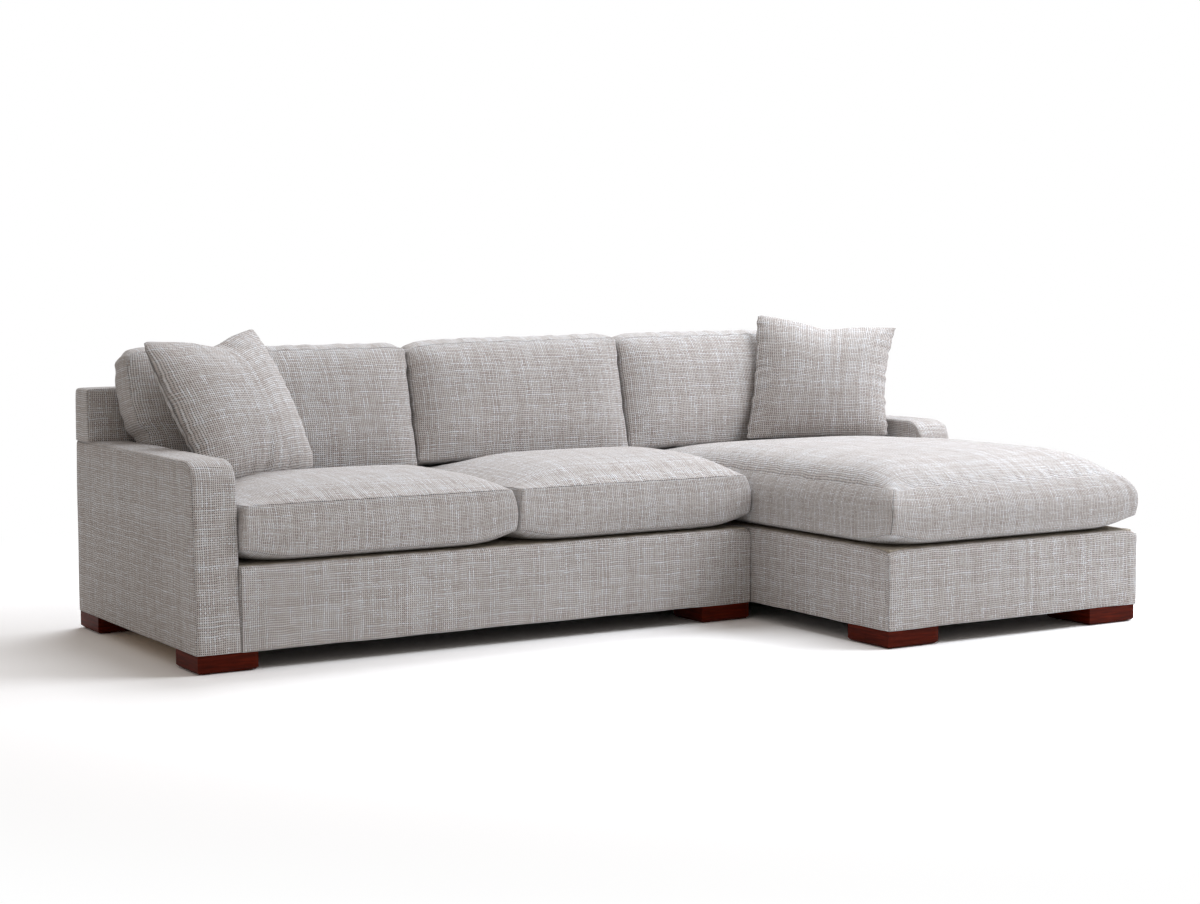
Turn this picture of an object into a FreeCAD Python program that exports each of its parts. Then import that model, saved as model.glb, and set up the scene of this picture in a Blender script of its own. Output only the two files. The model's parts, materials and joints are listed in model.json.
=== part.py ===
import FreeCAD
import Part
import math
import os

# Corner sofa in two modules, in millimetres.
# The sofa module has the left arm, and the chaise module has the right arm.
# X runs to the right, Y to the back and Z up, and the origin is on the floor
# under the middle of the whole outline.

# Overall sizes
OVERALL_WIDTH = 3060.0
CHAISE_DEPTH = 1762.0
SOFA_DEPTH = 1040.0
CHAISE_WIDTH = 1072.0
MODULE_GAP = 3.0
LEG_HEIGHT = 58.0
BASE_HEIGHT = 312.0
ARM_HEIGHT = 622.0
ARM_WIDTH = 142.0
ARM_SETBACK = 200.0
BACK_HEIGHT = 795.0
BACK_TOP_THICKNESS = 115.0
BACK_DECK_THICKNESS = 155.0

# Clearances and running gaps
FIT_GAP = 0.4
SOFT_GAP = 0.6
HOLE_GAP = 0.4
OVERRUN = 20.0

# Legs and their glides
SOFA_LEG_WIDTH = 190.0
SOFA_LEG_DEPTH = 172.0
CHAISE_LEG_SIDE = 202.0
LEG_INSET = 5.0
LEG_CHAMFER = 7.0
GLIDE_RADIUS = 16.0
GLIDE_HEIGHT = 3.0
GLIDE_SHARE = 0.32

# Seat box
RAIL_THICKNESS = 28.0
RAIL_TOP = 270.0
DUST_COVER = 1.2
BORDER_THICKNESS = 14.0
BORDER_RADIUS = 10.0
BLOCK_SIDE = 84.0
BLOCK_HEIGHT = 45.0

# Springs and deck
WIRE_RADIUS = 1.9
LOOP_RADIUS = 20.0
LOOP_RUN = 18.0
SPRING_PITCH = 168.0
CLIP_WIDTH = 14.0
CLIP_LENGTH = 24.0
CLIP_BASE = 1.5
CLIP_ROOF = 1.2

# Arms and back frames
COVER_THICKNESS = 7.0
PLY = 12.0
BOARD = 18.0
ARM_LEAN = 26.0
ARM_RADIUS = 66.0
ARM_EDGE_RADIUS = 13.0
POST_DEPTH = 60.0
RIB_THICKNESS = 18.0
RIB_PITCH = 520.0
REAR_BOARD_HEIGHT = 110.0
BELT_BOTTOM = 124.0
BELT_TOP = 262.0
BACK_EDGE_RADIUS = 12.0
STRAP_WIDTH = 60.0
STRAP_THICKNESS = 2.0
STRAP_COUNT = 4

# Fasteners
BOLT_RADIUS = 4.0
BOLT_HEAD_RADIUS = 8.0
BOLT_HEAD_HEIGHT = 5.0
NUT_RADIUS = 9.0
NUT_HEIGHT = 7.0
LEG_BOLT_DEPTH = 36.0
ARM_BOLT_HEIGHT = 160.0
BACK_BOLT_HEIGHT = 190.0
BOLT_EDGE = 110.0

# Connector between the modules
PLATE_THICKNESS = 3.0
PLATE_WIDTH = 50.0
PLATE_REACH = 46.0
PLATE_ANCHOR = 90.0
STUD_RADIUS = 6.0
STUD_GAP = 1.0
STUD_DROP = 10.0
STUD_RISE = 40.0
CONNECTOR_EDGE = 260.0
SCREW_RADIUS = 2.5
SCREW_LENGTH = 30.0

# Cushions
COVER_CLOTH = 2.5
FILL_GAP = 0.8
SEAT_SPLIT = 932.0
SEAT_LEFT_CROWN = 545.0
SEAT_MIDDLE_CROWN = 571.0
CHAISE_CROWN = 588.0
BACK_CUSHION_SPLIT = 938.0
BACK_CUSHION_RIGHT_START = 42.0
BACK_CUSHION_RIGHT_INSET = 20.0
BACK_CUSHION_THICKNESS = 182.0
BACK_CUSHION_LEFT_FOOT = 469.4
BACK_CUSHION_MIDDLE_FOOT = 485.1
BACK_CUSHION_RIGHT_FOOT = 495.2
BACK_CUSHION_LEFT_HEIGHT = 448.0
BACK_CUSHION_MIDDLE_HEIGHT = 450.0
BACK_CUSHION_RIGHT_HEIGHT = 440.0
BACK_CUSHION_LEAN = 13.0
BACK_CUSHION_FLARE = 52.0
BACK_CUSHION_TUCK = 20.0
PILLOW_SIDE = 516.0
PILLOW_THICKNESS = 184.0

# Where each pillow stands: middle point, then turn, lean and roll in degrees
PILLOW_LEFT_PLACE = (-1155.0, 413.0, 747.5)
PILLOW_LEFT_TURNS = (24.0, 26.0, 6.4)
PILLOW_RIGHT_PLACE = (1195.0, 404.0, 746.0)
PILLOW_RIGHT_TURNS = (-34.0, 21.3, -4.3)

# How far the seat presses in the left and right ends of a pillow's lower side
PILLOW_LEFT_SQUASH = (58.0, 2.0)
PILLOW_RIGHT_SQUASH = (28.0, 92.0)

# Each row: height, front inset, rear inset, side inset, corner radius and bow,
# all as shares of the cushion's thickness
SEAT_SHARES = (
    (0.00, 0.12, 0.10, 0.12, 0.22, 0.010),
    (0.04, 0.04, 0.04, 0.04, 0.16, 0.010),
    (0.09, 0.00, 0.00, 0.00, 0.12, 0.010),
    (0.38, -0.05, 0.00, 0.00, 0.16, 0.016),
    (0.60, -0.03, 0.02, 0.00, 0.14, 0.012),
    (0.71, 0.02, 0.30, 0.01, 0.14, 0.010),
    (0.80, 0.12, 0.72, 0.13, 0.26, 0.008),
    (0.89, 0.36, 1.02, 0.38, 0.40, 0.006),
    (0.96, 0.72, 1.34, 0.74, 0.40, 0.006),
    (1.00, 1.22, 1.66, 1.22, 0.40, 0.006),
)
# The chaise cushion falls away more slowly towards the back cushion
CHAISE_REAR_SHARES = (0.10, 0.04, 0.00, 0.00, 0.02, 0.30, 0.86, 1.31, 1.84, 2.50)
BACK_SHARES = (
    (0.00, 0.14, 0.14, 0.14, 0.30, 0.020),
    (0.07, 0.05, 0.05, 0.05, 0.26, 0.020),
    (0.14, 0.00, 0.00, 0.00, 0.24, 0.024),
    (0.45, 0.01, 0.00, 0.00, 0.28, 0.030),
    (0.76, 0.02, 0.01, 0.01, 0.24, 0.024),
    (0.84, 0.10, 0.09, 0.10, 0.34, 0.020),
    (0.92, 0.34, 0.32, 0.34, 0.50, 0.016),
    (0.97, 0.64, 0.60, 0.64, 0.54, 0.012),
    (1.00, 0.98, 0.92, 0.98, 0.54, 0.010),
)
# The pillow's rows run from its rim to one side: height, corner radius and bow
PILLOW_HALF_SHARES = (
    (0.00, 0.07, 0.15),
    (0.07, 0.12, 0.13),
    (0.18, 0.24, 0.09),
    (0.30, 0.42, 0.04),
    (0.40, 0.56, 0.01),
    (0.46, 0.60, -0.02),
    (0.50, 0.60, -0.03),
)
PILLOW_INSET_SHARES = (0.00, 0.06, 0.19, 0.38, 0.62, 0.86, 1.16)
CORNER_LIMIT_SHARE = 0.42
INNER_CORNER_SHARE = 0.22
# A pillow's lower side is pressed nearly straight by the seat that it stands on
PILLOW_FOOT_BOW_SHARE = 0.02

# Main planes
X_LEFT = -OVERALL_WIDTH / 2
X_RIGHT = OVERALL_WIDTH / 2
X_CHAISE = X_RIGHT - CHAISE_WIDTH
X_SEAM = X_CHAISE - MODULE_GAP
X_SEAT = X_LEFT + ARM_WIDTH
X_ARM = X_RIGHT - ARM_WIDTH
Y_BACK = CHAISE_DEPTH / 2
Y_CHAISE = -CHAISE_DEPTH / 2
Y_FRONT = Y_BACK - SOFA_DEPTH
Y_ARM = Y_FRONT + ARM_SETBACK
Y_DECK = Y_BACK - BACK_DECK_THICKNESS
Y_BACK_TOP = Y_BACK - BACK_TOP_THICKNESS
RAIL_BOTTOM = LEG_HEIGHT + DUST_COVER
WIRE_HEIGHT = RAIL_TOP + CLIP_BASE + HOLE_GAP + WIRE_RADIUS
PAD_BOTTOM = WIRE_HEIGHT + WIRE_RADIUS + HOLE_GAP + CLIP_ROOF + FIT_GAP

# Inner faces of the borders, where the rails start
X_SEAM_RAIL = X_SEAM - BORDER_THICKNESS
X_CHAISE_RAIL = X_CHAISE + BORDER_THICKNESS
X_RIGHT_RAIL = X_RIGHT - BORDER_THICKNESS
Y_FRONT_RAIL = Y_FRONT + BORDER_THICKNESS
Y_CHAISE_RAIL = Y_CHAISE + BORDER_THICKNESS


def box(x0, x1, y0, y1, z0, z1):
    return Part.makeBox(x1 - x0, y1 - y0, z1 - z0, FreeCAD.Vector(x0, y0, z0))


def rod(start, direction, radius, length):
    """Round bar from a point along a direction."""
    return Part.makeCylinder(radius, length, FreeCAD.Vector(*start), FreeCAD.Vector(*direction))


def side_prism(points, x0, x1):
    """Solid whose outline lies in the YZ plane, run along X."""
    vectors = [FreeCAD.Vector(x0, y, z) for y, z in points]
    face = Part.Face(Part.makePolygon(vectors + vectors[:1]))
    return face.extrude(FreeCAD.Vector(x1 - x0, 0, 0))


def group(solids):
    """One shape that keeps its pieces as separate solids."""
    return Part.makeCompound(solids)


def drill(shape, rods):
    """Cut every clearance rod out of each solid of a shape."""
    cut_solids = []
    for solid in shape.Solids:
        for hole in rods:
            if solid.BoundBox.intersect(hole.BoundBox):
                solid = solid.cut(hole)
        cut_solids.extend(solid.Solids)
    if len(cut_solids) == 1:
        return cut_solids[0]
    return group(cut_solids)


def edges_where(shape, test):
    """Edges whose two end points both pass a test."""
    picked = []
    for edge in shape.Edges:
        if all(test(vertex.Point) for vertex in edge.Vertexes):
            picked.append(edge)
    return picked


def near(value, plane):
    return abs(value - plane) < FIT_GAP


# Legs

def leg(x0, y0, width, depth):
    """Block leg with a bevel round its foot, standing on its glide."""
    block = box(x0, x0 + width, y0, y0 + depth, GLIDE_HEIGHT, LEG_HEIGHT)
    foot_edges = edges_where(block, lambda point: near(point.z, GLIDE_HEIGHT))
    return block.makeChamfer(LEG_CHAMFER, foot_edges)


def glides(x0, y0, width, depth):
    """Four round glides under one leg."""
    pads = []
    for x_share in (-GLIDE_SHARE, GLIDE_SHARE):
        for y_share in (-GLIDE_SHARE, GLIDE_SHARE):
            x = x0 + width / 2 + x_share * width
            y = y0 + depth / 2 + y_share * depth
            pads.append(rod((x, y, 0), (0, 0, 1), GLIDE_RADIUS, GLIDE_HEIGHT))
    return pads


def group_of_glides(corners, width, depth):
    pads = []
    for x, y in corners:
        pads.extend(glides(x, y, width, depth))
    return group(pads)


def leg_corners(x0, x1, y0, y1, width, depth):
    """Low corners of the four legs of a module."""
    xs = (x0 + LEG_INSET, x1 - LEG_INSET - width)
    ys = (y0 + LEG_INSET, y1 - LEG_INSET - depth)
    return [(x, y) for x in xs for y in ys]


# Fasteners

def bolt(start, direction, length):
    """Domed-head bolt with its nut near the far end, as two solids."""
    axis = FreeCAD.Vector(*direction)
    origin = FreeCAD.Vector(*start)
    shank = rod(start, direction, BOLT_RADIUS, length)
    head_start = origin - axis * BOLT_HEAD_HEIGHT
    head = rod(head_start, direction, BOLT_HEAD_RADIUS, BOLT_HEAD_HEIGHT)
    nut_start = origin + axis * (length - NUT_HEIGHT)
    nut = rod(nut_start, direction, NUT_RADIUS, NUT_HEIGHT)
    nut = nut.cut(rod(nut_start, direction, BOLT_RADIUS + HOLE_GAP / 2, NUT_HEIGHT))
    return [head.fuse(shank).removeSplitter(), nut]


def bolt_hole(start, direction, length):
    return rod(start, direction, BOLT_RADIUS + HOLE_GAP, length)


# Springs

def zigzag_spring(start, length, along):
    """Flat serpentine spring: straight cross runs joined by half-turn loops."""
    loop_count = int(length // (2 * LOOP_RADIUS))
    spare = length - loop_count * 2 * LOOP_RADIUS
    radius = LOOP_RADIUS + spare / (2 * loop_count)
    edges = []
    side = 1
    for index in range(loop_count):
        near_run = 2 * radius * index
        far_run = near_run + 2 * radius
        reach = side * LOOP_RUN / 2
        tip = side * (LOOP_RUN / 2 + radius)
        first = FreeCAD.Vector(reach, near_run, 0)
        last = FreeCAD.Vector(reach, far_run, 0)
        middle = FreeCAD.Vector(tip, near_run + radius, 0)
        edges.append(Part.LineSegment(FreeCAD.Vector(-reach, near_run, 0), first).toShape())
        edges.append(Part.Arc(first, middle, last).toShape())
        side = -side
    end_run = 2 * radius * loop_count
    reach = side * LOOP_RUN / 2
    end_start = FreeCAD.Vector(-reach, end_run, 0)
    end_finish = FreeCAD.Vector(reach, end_run, 0)
    edges.append(Part.LineSegment(end_start, end_finish).toShape())
    path = Part.Wire(edges)
    section_start = FreeCAD.Vector(-LOOP_RUN / 2, 0, 0)
    circle = Part.makeCircle(WIRE_RADIUS, section_start, FreeCAD.Vector(1, 0, 0))
    spring = path.makePipeShell([Part.Wire(circle)], True, False)
    turn = 0 if along == "y" else -90
    spring.rotate(FreeCAD.Vector(0, 0, 0), FreeCAD.Vector(0, 0, 1), turn)
    spring.translate(FreeCAD.Vector(*start))
    return spring


def spring_clip(x, y, along):
    """Clip that holds a spring's end run down on the rail."""
    half_width = CLIP_WIDTH / 2
    half_length = CLIP_LENGTH / 2
    top = WIRE_HEIGHT + WIRE_RADIUS + HOLE_GAP + CLIP_ROOF
    if along == "y":
        clip = box(x - half_width, x + half_width, y - half_length, y + half_length, RAIL_TOP, top)
        bore = rod((x - half_width, y, WIRE_HEIGHT), (1, 0, 0), WIRE_RADIUS + HOLE_GAP, CLIP_WIDTH)
    else:
        clip = box(x - half_length, x + half_length, y - half_width, y + half_width, RAIL_TOP, top)
        bore = rod((x, y - half_width, WIRE_HEIGHT), (0, 1, 0), WIRE_RADIUS + HOLE_GAP, CLIP_WIDTH)
    return clip.cut(bore)


def spread(low, high, pitch):
    """Evenly spaced places between two limits, half a step in from each."""
    count = max(1, int(round((high - low) / pitch)))
    step = (high - low) / count
    return [low + step * (index + 1 / 2) for index in range(count)]


# Borders

def border(x0, x1, y0, y1, outer):
    """Padded slab along the base, with its outer top edge rounded."""
    slab = box(x0, x1, y0, y1, LEG_HEIGHT, BASE_HEIGHT)
    axis, plane = outer
    if axis == "x":
        edges = edges_where(slab, lambda point: near(point.x, plane) and near(point.z, BASE_HEIGHT))
    else:
        edges = edges_where(slab, lambda point: near(point.y, plane) and near(point.z, BASE_HEIGHT))
    return slab.makeFillet(BORDER_RADIUS, edges)


# Arms

def arm_front_y(y_front, inset, z):
    """Front face of an arm at a height, drawn in by an inset."""
    return y_front + inset + ARM_LEAN * (z - LEG_HEIGHT) / (ARM_HEIGHT - LEG_HEIGHT)


def arm_outline(y_front, inset, bottom):
    """Side outline of an arm as a face at X zero, drawn in by an inset."""
    low = FreeCAD.Vector(0, arm_front_y(y_front, inset, bottom), bottom)
    knee = FreeCAD.Vector(0, arm_front_y(y_front, inset, ARM_HEIGHT - inset), ARM_HEIGHT - inset)
    rear_high = FreeCAD.Vector(0, Y_BACK - inset, ARM_HEIGHT - inset)
    rear_low = FreeCAD.Vector(0, Y_BACK - inset, bottom)
    down = (low - knee).normalize()
    level = (rear_high - knee).normalize()
    half_angle = down.getAngle(level) / 2
    radius = ARM_RADIUS - inset
    setback = radius / math.tan(half_angle)
    bisector = (down + level).normalize()
    reach = radius / math.sin(half_angle) - radius
    curve_start = knee + down * setback
    curve_end = knee + level * setback
    edges = [
        Part.LineSegment(low, curve_start).toShape(),
        Part.Arc(curve_start, knee + bisector * reach, curve_end).toShape(),
        Part.LineSegment(curve_end, rear_high).toShape(),
        Part.LineSegment(rear_high, rear_low).toShape(),
        Part.LineSegment(rear_low, low).toShape(),
    ]
    return Part.Face(Part.Wire(edges))


def arm_solid(x0, x1, y_front, inset, bottom):
    solid = arm_outline(y_front, inset, bottom).extrude(FreeCAD.Vector(x1 - x0, 0, 0))
    solid.translate(FreeCAD.Vector(x0, 0, 0))
    return solid


def arm_cover(x0, y_front):
    """Padded cover of an arm, open below where the cloth is stapled."""
    x1 = x0 + ARM_WIDTH
    outer = arm_solid(x0, x1, y_front, 0, LEG_HEIGHT)
    soft_edges = []
    for edge in outer.Edges:
        on_side = all(near(v.X, x0) for v in edge.Vertexes) or all(near(v.X, x1) for v in edge.Vertexes)
        highest = max(v.Z for v in edge.Vertexes)
        foremost = min(v.Y for v in edge.Vertexes)
        if on_side and highest > LEG_HEIGHT + FIT_GAP and foremost < Y_BACK - FIT_GAP:
            soft_edges.append(edge)
    outer = outer.makeFillet(ARM_EDGE_RADIUS, soft_edges)
    cavity = arm_solid(x0 + COVER_THICKNESS, x1 - COVER_THICKNESS, y_front, COVER_THICKNESS,
                       LEG_HEIGHT - OVERRUN)
    return outer.cut(cavity)


def arm_panels(x0, y_front):
    """Two side panels of an arm frame."""
    inset = COVER_THICKNESS + FIT_GAP
    left = x0 + inset
    right = x0 + ARM_WIDTH - inset
    pair = [
        arm_solid(left, left + PLY, y_front, inset, LEG_HEIGHT),
        arm_solid(right - PLY, right, y_front, inset, LEG_HEIGHT),
    ]
    return group(pair)


def arm_spacers(x0, y_front):
    """Blocks and boards between the two panels of an arm."""
    inset = COVER_THICKNESS + FIT_GAP
    left = x0 + inset + PLY
    right = x0 + ARM_WIDTH - inset - PLY
    front = y_front + inset + ARM_LEAN
    rear = Y_BACK - inset
    top = ARM_HEIGHT - inset
    board_front = y_front + ARM_LEAN + ARM_RADIUS
    floor_board = box(left, right, front, rear, LEG_HEIGHT, LEG_HEIGHT + BOARD)
    top_board = box(left, right, board_front, rear, top - BOARD, top)
    post_low = LEG_HEIGHT + BOARD
    post_high = top - BOARD
    middle = (y_front + Y_BACK) / 2
    front_post = box(left, right, front, front + POST_DEPTH, post_low, top - ARM_RADIUS)
    middle_post = box(left, right, middle, middle + POST_DEPTH, post_low, post_high)
    rear_post = box(left, right, rear - POST_DEPTH, rear, post_low, post_high)
    return group([floor_board, top_board, front_post, middle_post, rear_post])


# Backs

def back_front_y(z):
    """Front plane of a back frame at a height: upright below the deck."""
    if z <= BASE_HEIGHT:
        return Y_DECK
    share = (z - BASE_HEIGHT) / (BACK_HEIGHT - BASE_HEIGHT)
    return Y_DECK + (Y_BACK_TOP - Y_DECK) * share


def back_outline(inset, bottom):
    return [
        (Y_DECK + inset, bottom),
        (Y_DECK + inset, BASE_HEIGHT),
        (back_front_y(BACK_HEIGHT - inset) + inset, BACK_HEIGHT - inset),
        (Y_BACK - inset, BACK_HEIGHT - inset),
        (Y_BACK - inset, bottom),
    ]


def back_cover(x0, x1, arm_x0, arm_x1):
    """Padded cover of a back frame, with its end block over the arm."""
    low = min(x0, arm_x0)
    high = max(x1, arm_x1)
    body = side_prism(back_outline(0, LEG_HEIGHT), x0, x1)
    block = side_prism(back_outline(0, BASE_HEIGHT), arm_x0, arm_x1)
    block = block.common(box(arm_x0, arm_x1, Y_DECK, Y_BACK, ARM_HEIGHT, BACK_HEIGHT))
    outer = body.fuse(block).removeSplitter()

    def top_edge(point):
        return near(point.z, BACK_HEIGHT)

    outer = outer.makeFillet(BACK_EDGE_RADIUS, edges_where(outer, top_edge))
    inner_low = low + COVER_THICKNESS
    inner_high = high - COVER_THICKNESS
    body_inner = side_prism(back_outline(COVER_THICKNESS, LEG_HEIGHT - OVERRUN),
                            max(x0 + COVER_THICKNESS, inner_low), min(x1 - COVER_THICKNESS, inner_high))
    upper = side_prism(back_outline(COVER_THICKNESS, BASE_HEIGHT), inner_low, inner_high)
    upper_low = ARM_HEIGHT + COVER_THICKNESS
    upper = upper.common(box(inner_low, inner_high, Y_DECK, Y_BACK, upper_low, BACK_HEIGHT))
    return outer.cut(body_inner.fuse(upper))


def rib(x):
    """Tapered upright with steps where the boards lie against it."""
    inset = COVER_THICKNESS + FIT_GAP
    front = Y_DECK + inset
    rear = Y_BACK - inset
    top = BACK_HEIGHT - inset - BOARD
    deck_front = front + STRAP_THICKNESS
    points = [
        (front + BOARD, LEG_HEIGHT + BOARD),
        (front + BOARD, BELT_TOP),
        (deck_front, BELT_TOP),
        (deck_front, BASE_HEIGHT),
        (back_front_y(top) + inset + STRAP_THICKNESS, top),
        (rear - BOARD, top),
        (rear - BOARD, LEG_HEIGHT + BOARD),
    ]
    return side_prism(points, x - RIB_THICKNESS / 2, x + RIB_THICKNESS / 2)


def back_ribs(x0, x1, arm_x0, arm_x1):
    """Ribs along a back, and the short one in the end block over the arm."""
    inset = COVER_THICKNESS + FIT_GAP + RIB_THICKNESS / 2
    first = x0 + inset
    last = x1 - inset
    count = max(1, int(round((last - first) / RIB_PITCH)))
    ribs = [rib(first + (last - first) * index / count) for index in range(count + 1)]
    arm_middle = (arm_x0 + arm_x1) / 2
    block_low = ARM_HEIGHT + COVER_THICKNESS + FIT_GAP
    short_rib = rib(arm_middle).common(box(arm_x0, arm_x1, Y_DECK, Y_BACK, block_low, BACK_HEIGHT))
    return group(ribs + [short_rib])


def back_boards(x0, x1, arm_x0, arm_x1):
    """Top board, two rear boards, the belt that takes the bolts, and the floor board."""
    inset = COVER_THICKNESS + FIT_GAP
    front = Y_DECK + inset
    rear = Y_BACK - inset
    top = BACK_HEIGHT - inset
    low = min(x0, arm_x0) + inset
    high = max(x1, arm_x1) - inset
    own_low = x0 + inset
    own_high = x1 - inset
    top_front = Y_BACK_TOP + inset + STRAP_THICKNESS
    top_board = box(low, high, top_front, rear, top - BOARD, top)
    rear_top = box(low, high, rear - BOARD, rear, top - BOARD - REAR_BOARD_HEIGHT, top - BOARD)
    rear_low = box(own_low, own_high, rear - BOARD, rear, LEG_HEIGHT + BOARD,
                   LEG_HEIGHT + BOARD + REAR_BOARD_HEIGHT)
    belt = box(own_low, own_high, front, front + BOARD, BELT_BOTTOM, BELT_TOP)
    floor_board = box(own_low, own_high, front, rear, LEG_HEIGHT, LEG_HEIGHT + BOARD)
    return group([top_board, rear_top, rear_low, belt, floor_board])


def back_webbing(x0, x1):
    """Elastic straps stretched across the front of the ribs."""
    inset = COVER_THICKNESS + FIT_GAP
    lean = math.atan2(Y_BACK_TOP - Y_DECK, BACK_HEIGHT - BASE_HEIGHT)
    span = BACK_HEIGHT - BOARD - inset - BASE_HEIGHT - STRAP_WIDTH
    straps = []
    for index in range(STRAP_COUNT):
        z = BASE_HEIGHT + span * (index + 1 / 2) / STRAP_COUNT
        strap = Part.makeBox(x1 - x0 - 2 * inset, STRAP_THICKNESS - FIT_GAP, STRAP_WIDTH)
        strap.rotate(FreeCAD.Vector(0, 0, 0), FreeCAD.Vector(1, 0, 0), -math.degrees(lean))
        strap.translate(FreeCAD.Vector(x0 + inset, back_front_y(z) + inset, z))
        straps.append(strap)
    return group(straps)


# Cushions

def inset_corners(corners, insets):
    """Move each side of a closed outline inwards by its own amount."""
    lines = []
    for index, corner in enumerate(corners):
        following = corners[(index + 1) % len(corners)]
        direction = (following - corner).normalize()
        inward = FreeCAD.Vector(-direction.y, direction.x, 0)
        lines.append((corner + inward * insets[index], direction))
    moved = []
    for index, (point, direction) in enumerate(lines):
        before, before_direction = lines[index - 1]
        cross = before_direction.x * direction.y - before_direction.y * direction.x
        offset = point - before
        reach = (offset.x * direction.y - offset.y * direction.x) / cross
        moved.append(before + before_direction * reach)
    return moved


def rounded_wire(corners, radius, bows, height):
    """Closed wire of sides bowed inwards and round corners, at one height."""
    spans = [(corner - corners[index - 1]).Length for index, corner in enumerate(corners)]
    radius = min(radius, CORNER_LIMIT_SHARE * min(spans))
    turns = []
    for index, corner in enumerate(corners):
        to_last = (corners[index - 1] - corner).normalize()
        to_next = (corners[(index + 1) % len(corners)] - corner).normalize()
        half_angle = to_last.getAngle(to_next) / 2
        bisector = (to_last + to_next).normalize()
        turns_inwards = to_last.x * to_next.y - to_last.y * to_next.x > 0
        setback = radius * INNER_CORNER_SHARE if turns_inwards else radius
        reach = setback / math.cos(half_angle) - setback * math.tan(half_angle)
        turns.append((corner + to_last * setback, corner + bisector * reach, corner + to_next * setback))
    lift = FreeCAD.Vector(0, 0, height)
    edges = []
    for index, (start, middle, end) in enumerate(turns):
        following = turns[(index + 1) % len(turns)][0]
        direction = (following - end).normalize()
        inward = FreeCAD.Vector(-direction.y, direction.x, 0)
        side_middle = (end + following) / 2 + inward * bows[index]
        edges.append(Part.Arc(start + lift, middle + lift, end + lift).toShape())
        edges.append(Part.Arc(end + lift, side_middle + lift, following + lift).toShape())
    return Part.Wire(edges)


def with_midway_rows(rows):
    """Add a smooth in-between row after each row of a table of shares."""
    finer = []
    for index, row in enumerate(rows[:-1]):
        before = rows[max(index - 1, 0)]
        after = rows[index + 1]
        beyond = rows[min(index + 2, len(rows) - 1)]
        midway = []
        for a, b, c, d in zip(before, row, after, beyond):
            smooth = (9 * (b + c) - a - d) / 16
            midway.append(max(min(b, c), min(max(b, c), smooth)))
        finer.append(row)
        finer.append(midway)
    finer.append(rows[-1])
    return finer


def cushion_form(corners, sides, shares, thickness, shrink, first_bow_share=1):
    """Crowned cushion lofted through level outlines, drawn in by a shrink."""
    lowest = shrink
    height = thickness - 2 * shrink
    wires = []
    for level, front, rear, side, corner, bow in with_midway_rows(shares):
        insets = {"front": front, "rear": rear, "side": side}
        moved = inset_corners(corners, [insets[name] * thickness + shrink for name in sides])
        bows = [bow * thickness] * len(corners)
        bows[0] *= first_bow_share
        wires.append(rounded_wire(moved, corner * thickness, bows, lowest + level * height))
    return Part.makeLoft(wires, True, True)


def cover_and_core(form):
    """Hollow cloth cover and the filling inside it, from one cushion form."""
    cover = form(0).cut(form(COVER_CLOTH))
    core = form(COVER_CLOTH + FILL_GAP)
    return cover, core


def corners_of(points):
    return [FreeCAD.Vector(x, y, 0) for x, y in points]


def seat_cushion(x0, x1, crown):
    """Boxed seat cushion that lies on the deck between two X planes."""
    points = corners_of([(x0, Y_FRONT), (x1, Y_FRONT), (x1, Y_DECK - SOFT_GAP), (x0, Y_DECK - SOFT_GAP)])
    base = BASE_HEIGHT + SOFT_GAP / 2
    sides = ("front", "side", "rear", "side")

    def form(shrink):
        solid = cushion_form(points, sides, SEAT_SHARES, crown - base, shrink)
        solid.translate(FreeCAD.Vector(0, 0, base))
        return solid

    return cover_and_core(form)


def chaise_seat_cushion():
    """Long boxed cushion with a step that passes in front of the arm."""
    x0 = X_CHAISE + SOFT_GAP
    x1 = X_RIGHT - SOFT_GAP
    step_x = X_ARM - SOFT_GAP
    step_y = Y_ARM - SOFT_GAP
    rear = Y_DECK - SOFT_GAP
    outline = [(x0, Y_CHAISE), (x1, Y_CHAISE), (x1, step_y), (step_x, step_y), (step_x, rear), (x0, rear)]
    points = corners_of(outline)
    base = BASE_HEIGHT + SOFT_GAP / 2
    sides = ("front", "side", "side", "side", "rear", "side")
    shares = []
    for (level, front, _, side, corner, bow), rear_share in zip(SEAT_SHARES, CHAISE_REAR_SHARES):
        shares.append((level, max(front, 0), rear_share, side, corner, bow))

    def form(shrink):
        solid = cushion_form(points, sides, shares, CHAISE_CROWN - base, shrink)
        solid.translate(FreeCAD.Vector(0, 0, base))
        return solid

    return cover_and_core(form)


def back_cushion(x_low, x_high, x_top_low, foot, height):
    """Boxed back cushion that leans on the top edge of the back frame."""
    lean = math.radians(BACK_CUSHION_LEAN)
    points = corners_of([(x_low, 0), (x_high, 0), (x_high, height), (x_top_low, height)])
    sides = ("front", "side", "rear", "side")
    frame_lean = math.atan2(Y_BACK_TOP - Y_DECK, BACK_HEIGHT - BASE_HEIGHT)
    edge_z = BACK_HEIGHT - BACK_EDGE_RADIUS
    edge_y = back_front_y(edge_z) + BACK_EDGE_RADIUS / math.cos(frame_lean)
    reach = BACK_EDGE_RADIUS + SOFT_GAP
    contact_y = edge_y - reach * math.cos(lean)
    contact_z = edge_z + reach * math.sin(lean)
    foot_y = contact_y - (contact_z - foot) * math.tan(lean)

    def form(shrink):
        solid = cushion_form(points, sides, BACK_SHARES, BACK_CUSHION_THICKNESS, shrink)
        solid.rotate(FreeCAD.Vector(0, 0, 0), FreeCAD.Vector(1, 0, 0), 90 - BACK_CUSHION_LEAN)
        solid.translate(FreeCAD.Vector(0, foot_y, foot))
        return solid

    return cover_and_core(form)


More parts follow.
